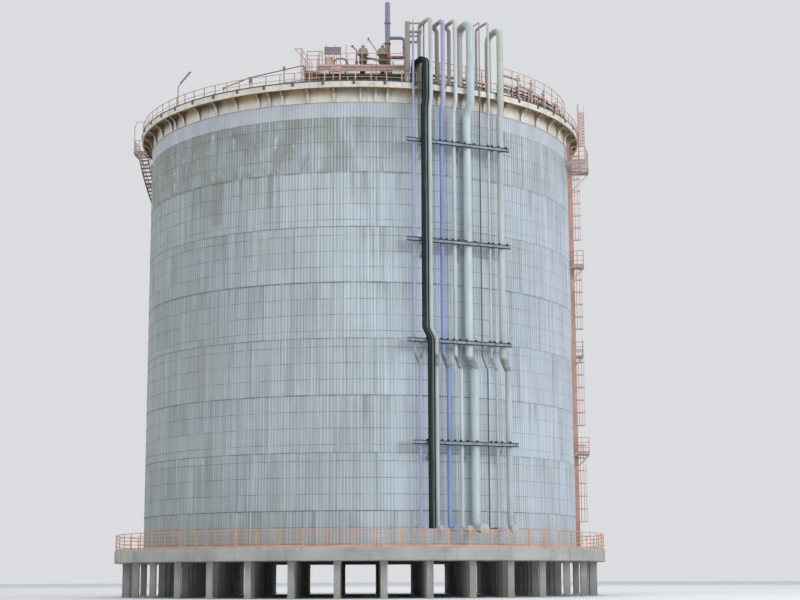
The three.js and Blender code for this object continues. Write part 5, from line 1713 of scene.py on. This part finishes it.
class TANK_OT_valves(Maker):
    """Models the two relief valves with their bolted flanges and weather hoods"""

    bl_idname = "tank.valves"
    bl_label = "Relief valves"

    def make(self, sizes):
        for number, (x, y) in enumerate(VALVES, 1):
            # Body: a foot on the dome, a neck, two flanges with bolts, and a waist
            foot = on_dome(x, y) - 0.03
            lathe([
                (0, foot), (0.14, foot), (0.14, foot + 0.05), (0.085, foot + 0.09), (0.085, 20.17),
                (0.12, 20.2), (0.12, 20.43), (0.15, 20.445), (0.155, 20.45), (0.155, 20.475),
                (0.15, 20.48), (0.11, 20.482), (0.11, 20.486), (0.155, 20.488), (0.16, 20.495),
                (0.16, 20.524), (0.155, 20.53), (0.118, 20.535), (0.108, 20.57), (0.112, 20.66),
                (0.128, 20.71), (0.15, 20.722), (0.15, 20.735), (0, 20.735),
            ], (x, y), 28)
            disc((x + 0.135, y, 20.486), UP, 0.01, 0.1, 6, 0)
            circle_of(10, (x, y, 20.486))
            # Outlet at the side, and a test tap at the other
            rod((x, y, 20.62), (x + 0.16, y, 20.62), 0.05, 16)
            for place, thick in ((x + 0.155, 0.016), (x + 0.172, 0.012)):
                disc((place, y, 20.62), (1, 0, 0), 0.075, thick, 20, 0.003)
            tap = Vector((x - 0.13, y - 0.026, 20.6))
            rod((x, y, 20.6), (x - 0.15, y - 0.03, 20.6), 0.018, 10)
            rod(tap, tap + UP * 0.06, 0.012)
            disc(tap + UP * 0.068, UP, 0.03, 0.01, 14, 0.002)
            finish(f"valve_body_{number}", "valve_dark", [f"relief_valve_{number}"], 30)
            # Hood: a rim with a drip edge, a bell with ribs, and a vent cap with a spindle
            lathe([
                (0, 20.735), (0.15, 20.735), (0.19, 20.76), (0.19, 20.775), (0.21, 20.775),
                (0.215, 20.78), (0.215, 20.835), (0.209, 20.842), (0.198, 20.85), (0.186, 20.9),
                (0.168, 20.97), (0.152, 21.02), (0.12, 21.04), (0.045, 21.05), (0.04, 21.09),
                (0.07, 21.1), (0.075, 21.12), (0.07, 21.14), (0.02, 21.155), (0.014, 21.17),
                (0.012, 21.25), (0, 21.25),
            ], (x, y), 28)
            bar((x + 0.204, y, 20.845), (x + 0.154, y, 21.025), (0.012, 0.012), (0, 1, 0))
            circle_of(6, (x, y, 0))
            disc((x + 0.204, y, 20.808), (1, 0, 0), 0.012, 0.03, 6, 0)
            circle_of(12, (x, y, 0))
            finish(f"valve_hood_{number}", "valve_paint")
        valve_links()
        valve_levers()
        platform_motor()


def vent_stack():
    """An open pipe with flanged joints, and a branch into the second valve."""
    x, y = STACK
    foot, tube = on_dome(x, y) - 0.03, 0.1
    lathe([
        (0, foot), (0.16, foot), (0.16, foot + 0.03), (tube, foot + 0.06), (tube, 23.13), (0.096, 23.14),
        (0.088, 23.14), (0.086, 23.13), (0.086, 22.5), (0, 22.5),
    ], STACK, 28)
    for level in (20.6, 21.45, 22.3):
        for lift in (-0.009, 0.009):
            disc((x, y, level + lift), UP, 0.135, 0.016, 24)
        disc((x + 0.118, y, level), UP, 0.008, 0.05, 6, 0)
        circle_of(10, (x, y, 0))
    for low, high in ((21.5, 23.1), (19.9, 21.5)):
        jacket_bands((x, y, low), (x, y, high), tube, 0.4)
    side, start, end = x + 0.66, 21.69, 20.68
    valve_x, valve_y = VALVES[1]
    branch = [(x, y, start), (side, y, start), (side, y, 20.95)]
    branch += [(side, valve_y, end), (valve_x + 0.18, valve_y, end)]
    run(branch, 0.066, bend=0.16, sides=16)
    disc((x + 0.14, y, start), (1, 0, 0), 0.08, 0.02, 18, 0.003)
    disc((side, y, 21.3), UP, 0.08, 0.03, 18, 0.003)
    finish("vent_stack_pipe", "stack_jacket", ["vent_stack"], 30)


def pipe_column():
    """A pipe on the walkway that is thicker above, with its header."""
    x, y = COLUMN
    radius, foot, header = 0.098, DECK_TOP, 21.82
    lathe([
        (0, foot), (0.12, foot), (0.12, foot + 0.016), (0.06, foot + 0.02), (0.06, 19.86),
        (radius, 19.9), (radius, 21.86), (0.09, 21.88), (0.05, 21.895), (0, 21.9),
    ], COLUMN, 24)
    jacket_bands((x, y, 20.1), (x, y, 21.8), radius, 0.45)
    corners = ((0, 0, header), (0.64, 0, header), (0.64, 0.35, header), (0.64, 0.35, 19.3))
    run([(x + i, y + j, height) for i, j, height in corners], 0.032, bend=0.07)
    disc((x + 0.11, y, header), (1, 0, 0), 0.05, 0.02, 16, 0.003)
    box((x + 0.118, y, foot + 0.005), (0.03, 0.03, 0.02), 45, 0.002)
    finish("column_pipe", "column_jacket", ["pipe_column"], 30)


def instrument_case():
    """A case with two doors on both faces, a rain lip, legs, and conduits under and over it."""
    x, y, middle, top = -1.08, -8.6, 20.82, PLATFORM_TOP
    box((x, y, middle + 0.005), (0.64, 0.115, 0.27), 0, 0.006)
    box((x, y, 20.953), (0.64, 0.12, 0.014), 0, 0.002)
    for door in (-0.155, 0.155):
        for side in (-0.057, 0.057):
            box((x + door, y + side, middle), (0.28, 0.006, 0.22), 0, 0.002)
        hinge = Vector((x + door - 0.135, y - 0.0575, middle))
        for lift in (-0.07, 0.07):
            rod(hinge + UP * (lift - 0.015), hinge + UP * (lift + 0.015), 0.006)
        box((x + door + 0.12, y - 0.06, middle), (0.012, 0.008, 0.05), 0, 0.002)
    for leg in (-0.29, 0.29):
        bar((x + leg, y, top), (x + leg, y, 20.7), (0.03, 0.03), (1, 0, 0), 0.003)
        box((x + leg, y, top + 0.005), (0.08, 0.08, 0.01), 0, 0.002)
    for place in (-0.18, -0.1, 0.06, 0.14):
        rod((x + place, y, top - 0.02), (x + place, y, 20.7), 0.011)
    for place in (-0.24, 0.08):
        rod((x + place, y + 0.02, 20.95), (x + place, y + 0.02, 21.08), 0.01)
    box((x, y - 0.062, middle), (0.09, 0.012, 0.2), 0, 0.003)
    finish("instrument_case", "case_paint", ["instrument_panel"], 30)


def lamp_and_pole():
    """A pole with a slanting arm, and a long lamp with two tubes on it."""
    angle = -51.8
    out, side = -at(angle, 1, 0), at(angle + 90, 1, 0)
    base = at(angle, 9.34, DECK_TOP)
    rod(base, base + UP * 0.992, 0.019, 12)
    box(base + UP * 0.006, (0.09, 0.09, 0.012), angle, 0.002)
    rod(base + UP * 0.97, base + UP * 1.162 + out * 0.15, 0.017, 12)
    rise, reach = 0.56, 0.44
    start = base + UP * 1.142 + out * 0.125
    move = UP * rise + out * reach
    bar(start, start + move, (0.13, 0.02), side, 0.003)
    for across in (-0.04, 0.04):
        foot = start + side * across + (UP * reach - out * rise).normalized() * 0.02
        rod(foot + move * 0.06, foot + move * 0.94, 0.02, 12)
        for share in (0.03, 0.97):
            disc(foot + move * share, move, 0.024, 0.03, 12, 0.002)
    finish("lamp_and_pole", "case_paint", ["light_pole"], 30)


def roof_conduit():
    """A conduit on posts from the left of the roof to the platform, with its boxes."""
    stand, x, y = 9.38, -2.95, -8.66
    bends = [at(-34.7, stand, 19.59), at(-27.2, stand, 19.81)]
    run([*bends, (-2.2, -8.4, 20.3), (-2.2, -7.9, 20.05)], 0.022, bend=0.05, sides=10)
    for corner in bends:
        box(corner, (0.09, 0.06, 0.06), 30, 0.006)
    for angle, height in ((-34.7, 19.57), (-27.2, 19.8)):
        rod(at(angle, stand, DECK_TOP), at(angle, stand, height), 0.016)
    box(at(-27.0, 9.37, 19.7), (0.12, 0.08, 0.22), -27)
    box((x, y, 20.08), (0.1, 0.08, 0.14))
    rod((x, y, on_dome(x, y) - 0.02), (x, y, 20.1), 0.02)
    finish("roof_conduit", "case_paint", smooth=30)


def roof_edge_pipes():
    """Pipes on stands: behind the rack's arches, and along the right of the roof; their near-black olive is
    partly their paint and partly painted shade.
    """
    thick, bevel = (0.04, 0.04), 0.003
    for radius, height, tube in ((8.3, 19.76, 0.075), (8.2, 19.95, 0.05), (8.3, 20.08, 0.03)):
        hoop(radius, height, tube, 14, 38, 12, 12)
    for angle in (15, 19.5, 24, 28.5, 33, 37):
        for radius in (8.1, 8.42):
            foot = at(angle, radius, dome_height(radius) - 0.02)
            bar(foot, at(angle, radius, 20.12), thick, at(angle, 1, 0), bevel)
    for radius, height, tube in ((8.86, 19.78, 0.05), (8.78, 19.92, 0.032), (8.86, 20.02, 0.04)):
        hoop(radius, height, tube, 38, 76, 19, 12)
    for angle in range(39, 75, 5):
        for radius, foot in ((8.95, dome_height(8.82) - 0.06), (8.7, dome_height(8.7) - 0.02)):
            bar(at(angle, radius, foot), at(angle, radius, 20.08), thick, at(angle, 1, 0), bevel)
        for level in (19.71, 19.87):
            bar(at(angle, 8.69, level), at(angle, 8.96, level), (0.03, 0.03))
    finish("roof_edge_pipes", "olive_paint", smooth=30)


def raised_rail(tube):
    """Higher rails over the pipes, each from its foot to one height."""
    for radius, foot, top, start, end, pitch, middles in (
        (8.97, 19.24, 20.685, 37.5, 76.5, 4.9, (0.8, 0.58)),
        (8.5, dome_height(8.5) - 0.02, 20.6, 13.5, 37, 2.6, (0.75, 0.5)),
    ):
        railing(radius, foot, top - foot, start, end, pitch, tube, middles)
    finish("raised_rail", "salmon_paint", smooth=30)


def roof_edge_gear():
    """Valves that stand among the pipes at the right, and two short pipes with end flanges."""
    for angle, radius, top, thick in (
        (41.3, 8.6, 20.55, 0.04), (45.2, 8.9, 20.5, 0.05), (51.0, 8.9, 20.52, 0.062),
        (57.2, 8.9, 20.3, 0.05), (65.9, 8.92, 20.2, 0.06),
    ):
        crown = at(angle, radius, top)
        rod(at(angle, radius, dome_height(radius) - 0.02), crown, thick, 14)
        for level in (19.6, 20.1, top - 0.02):
            disc(at(angle, radius, level), UP, thick + 0.035, 0.025, 16)
        rod(crown, crown + UP * 0.08, 0.012)
        disc(crown + UP * 0.08, UP, 0.06, 0.012, 16, 0.002)
    for start, end, height in ((38.5, 45.5, 20.42), (46, 51.5, 20.2)):
        hoop(8.88, height, 0.05, start, end, 5, 12)
        for angle in (start, end):
            disc(at(angle, 8.88, height), at(angle + 90, 1, 0), 0.085, 0.03, 16)
    finish("roof_edge_gear", "landing_paint", smooth=30)


def column_branches():
    """Small branches of the column, each with two flanges, tied by an upright."""
    x, y = COLUMN
    for height, reach, tube in ((21.47, 0.52, 0.045), (21.3, 0.4, 0.028), (21.06, 0.34, 0.04)):
        rod((x + 0.09, y, height), (x + reach, y, height), tube, 12)
        for place, wider, thick in ((0.14, 0.03, 0.02), (reach, 0.025, 0.04)):
            disc((x + place, y, height), (1, 0, 0), tube + wider, thick, 16)
    rod((x + 0.4, y, 21.06), (x + 0.4, y, 21.47), 0.03, 12)
    finish("column_branches", "case_paint", smooth=30)


class TANK_OT_roof_gear(Maker):
    """Models the stack, the column, the instrument panel, the lamp and the roof's small pipes"""

    bl_idname = "tank.roof_gear"
    bl_label = "Roof gear"

    def make(self, sizes):
        vent_stack()
        pipe_column()
        instrument_case()
        lamp_and_pole()
        roof_conduit()
        roof_edge_pipes()
        raised_rail(sizes.rail_tube)
        roof_edge_gear()
        column_branches()


class TANK_OT_stage(Maker):
    """Sets the camera, the lights and a plain floor"""

    bl_idname = "tank.stage"
    bl_label = "Camera, lights and floor"

    def make(self, sizes):
        scene = bpy.context.scene
        clear()
        bpy.ops.object.camera_add(location=(0, -68.247, 0.765))
        camera = bpy.context.object
        camera.name = "photo_camera"
        camera.data.lens = 72.33
        camera.data.sensor_width = 36
        camera.data.clip_end = 400
        # The aim: turned a little to the right, tilted up, and rolled
        heading, tilt, roll = math.radians(-1.42306), math.radians(90 + 9.777632), -0.004
        look = Matrix.Rotation(heading, 4, "Z") @ Matrix.Rotation(tilt, 4, "X")
        look = look @ Matrix.Rotation(roll, 4, "Z")
        camera.rotation_euler = look.to_euler()
        scene.camera = camera
        scene.view_settings.view_transform = "Standard"
        for name, place, energy, size, colour in (
            ("key", (-34, -52, 46), 7000, 30, (1.0, 0.985, 0.96)),
            ("fill", (46, -40, 30), 15000, 34, (0.93, 0.96, 1.0)),
            ("back", (10, 55, 48), 9000, 40, (0.95, 0.97, 1.0)),
            ("top", (0, -4, 62), 4000, 36, (1.0, 1.0, 1.0)),
        ):
            clear()
            bpy.ops.object.light_add(type="AREA", location=place)
            lamp = bpy.context.object
            lamp.name = name
            lamp.data.energy = energy
            lamp.data.size = size
            lamp.data.color = colour
            aim = Vector((0, 0, 10)) - Vector(place)
            lamp.rotation_euler = aim.to_track_quat("-Z", "Y").to_euler()
        scene.world = scene.world or bpy.data.worlds.new("studio")
        scene.world.use_nodes = True
        light = scene.world.node_tree.nodes["Background"].inputs
        light[0].default_value = (0.95, 0.97, 1.0, 1)
        light[1].default_value = 0.74
        clear()
        bpy.ops.mesh.primitive_circle_add(vertices=96, radius=170, fill_type="NGON", location=(0, 0, -0.005))
        bpy.ops.object.transform_apply(location=True, rotation=True, scale=True)
        floor = bpy.context.object
        floor.name = "studio_floor"
        plain = Finish("studio_floor")
        patches = plain.band(plain.noise(0.05, 2), 0.3, 0.7)
        plain.body = plain.mix(patches, (0.72, 0.73, 0.74, 1), (0.76, 0.77, 0.78, 1))
        floor.data.materials.append(plain.close(0.9))


class TANK_OT_carried_nodes(Maker):
    """Gives the CAD nodes that still show their finishes"""

    bl_idname = "tank.carried_nodes"
    bl_label = "Carried nodes"

    def make(self, sizes):
        finishes = {"inner_wall": "tank_plate", "tank_bottom": "insulation_block"}
        for name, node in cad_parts.items():
            for start, look in finishes.items():
                if name.startswith(start):
                    node.data.materials.clear()
                    node.data.materials.append(paint(look))


class TANK_PT_panel(bpy.types.Panel):
    """Lists the tank's operators, and the sizes and colours that they take"""

    bl_label = "Double-wall tank"
    bl_idname = "TANK_PT_panel"
    bl_space_type = "VIEW_3D"
    bl_region_type = "UI"
    bl_category = "Tank"

    def draw(self, context):
        for maker in makers:
            self.layout.operator(maker.bl_idname)
        for group in (context.scene.tank_sizes, context.scene.tank_colours):
            for name in group.__annotations__:
                self.layout.prop(group, name)


makers = (
    TANK_OT_stage,
    TANK_OT_foundation,
    TANK_OT_cladding,
    TANK_OT_dome,
    TANK_OT_walkway,
    TANK_OT_walkway_rails,
    TANK_OT_slab_rails,
    TANK_OT_beams,
    TANK_OT_risers,
    TANK_OT_duct,
    TANK_OT_ladders,
    TANK_OT_ladder_landings,
    TANK_OT_stairs,
    TANK_OT_platform,
    TANK_OT_valves,
    TANK_OT_roof_gear,
    TANK_OT_carried_nodes,
)
classes = (TankSizes, TankColours, *makers, TANK_PT_panel)


def register():
    for item in classes:
        bpy.utils.register_class(item)
    bpy.types.Scene.tank_sizes = bpy.props.PointerProperty(type=TankSizes)
    bpy.types.Scene.tank_colours = bpy.props.PointerProperty(type=TankColours)


def unregister():
    del bpy.types.Scene.tank_colours
    del bpy.types.Scene.tank_sizes
    for item in reversed(classes):
        bpy.utils.unregister_class(item)


def main():
    register()
    for maker in makers:
        group, name = maker.bl_idname.split(".")
        getattr(getattr(bpy.ops, group), name)()


if __name__ == "__main__":
    main()
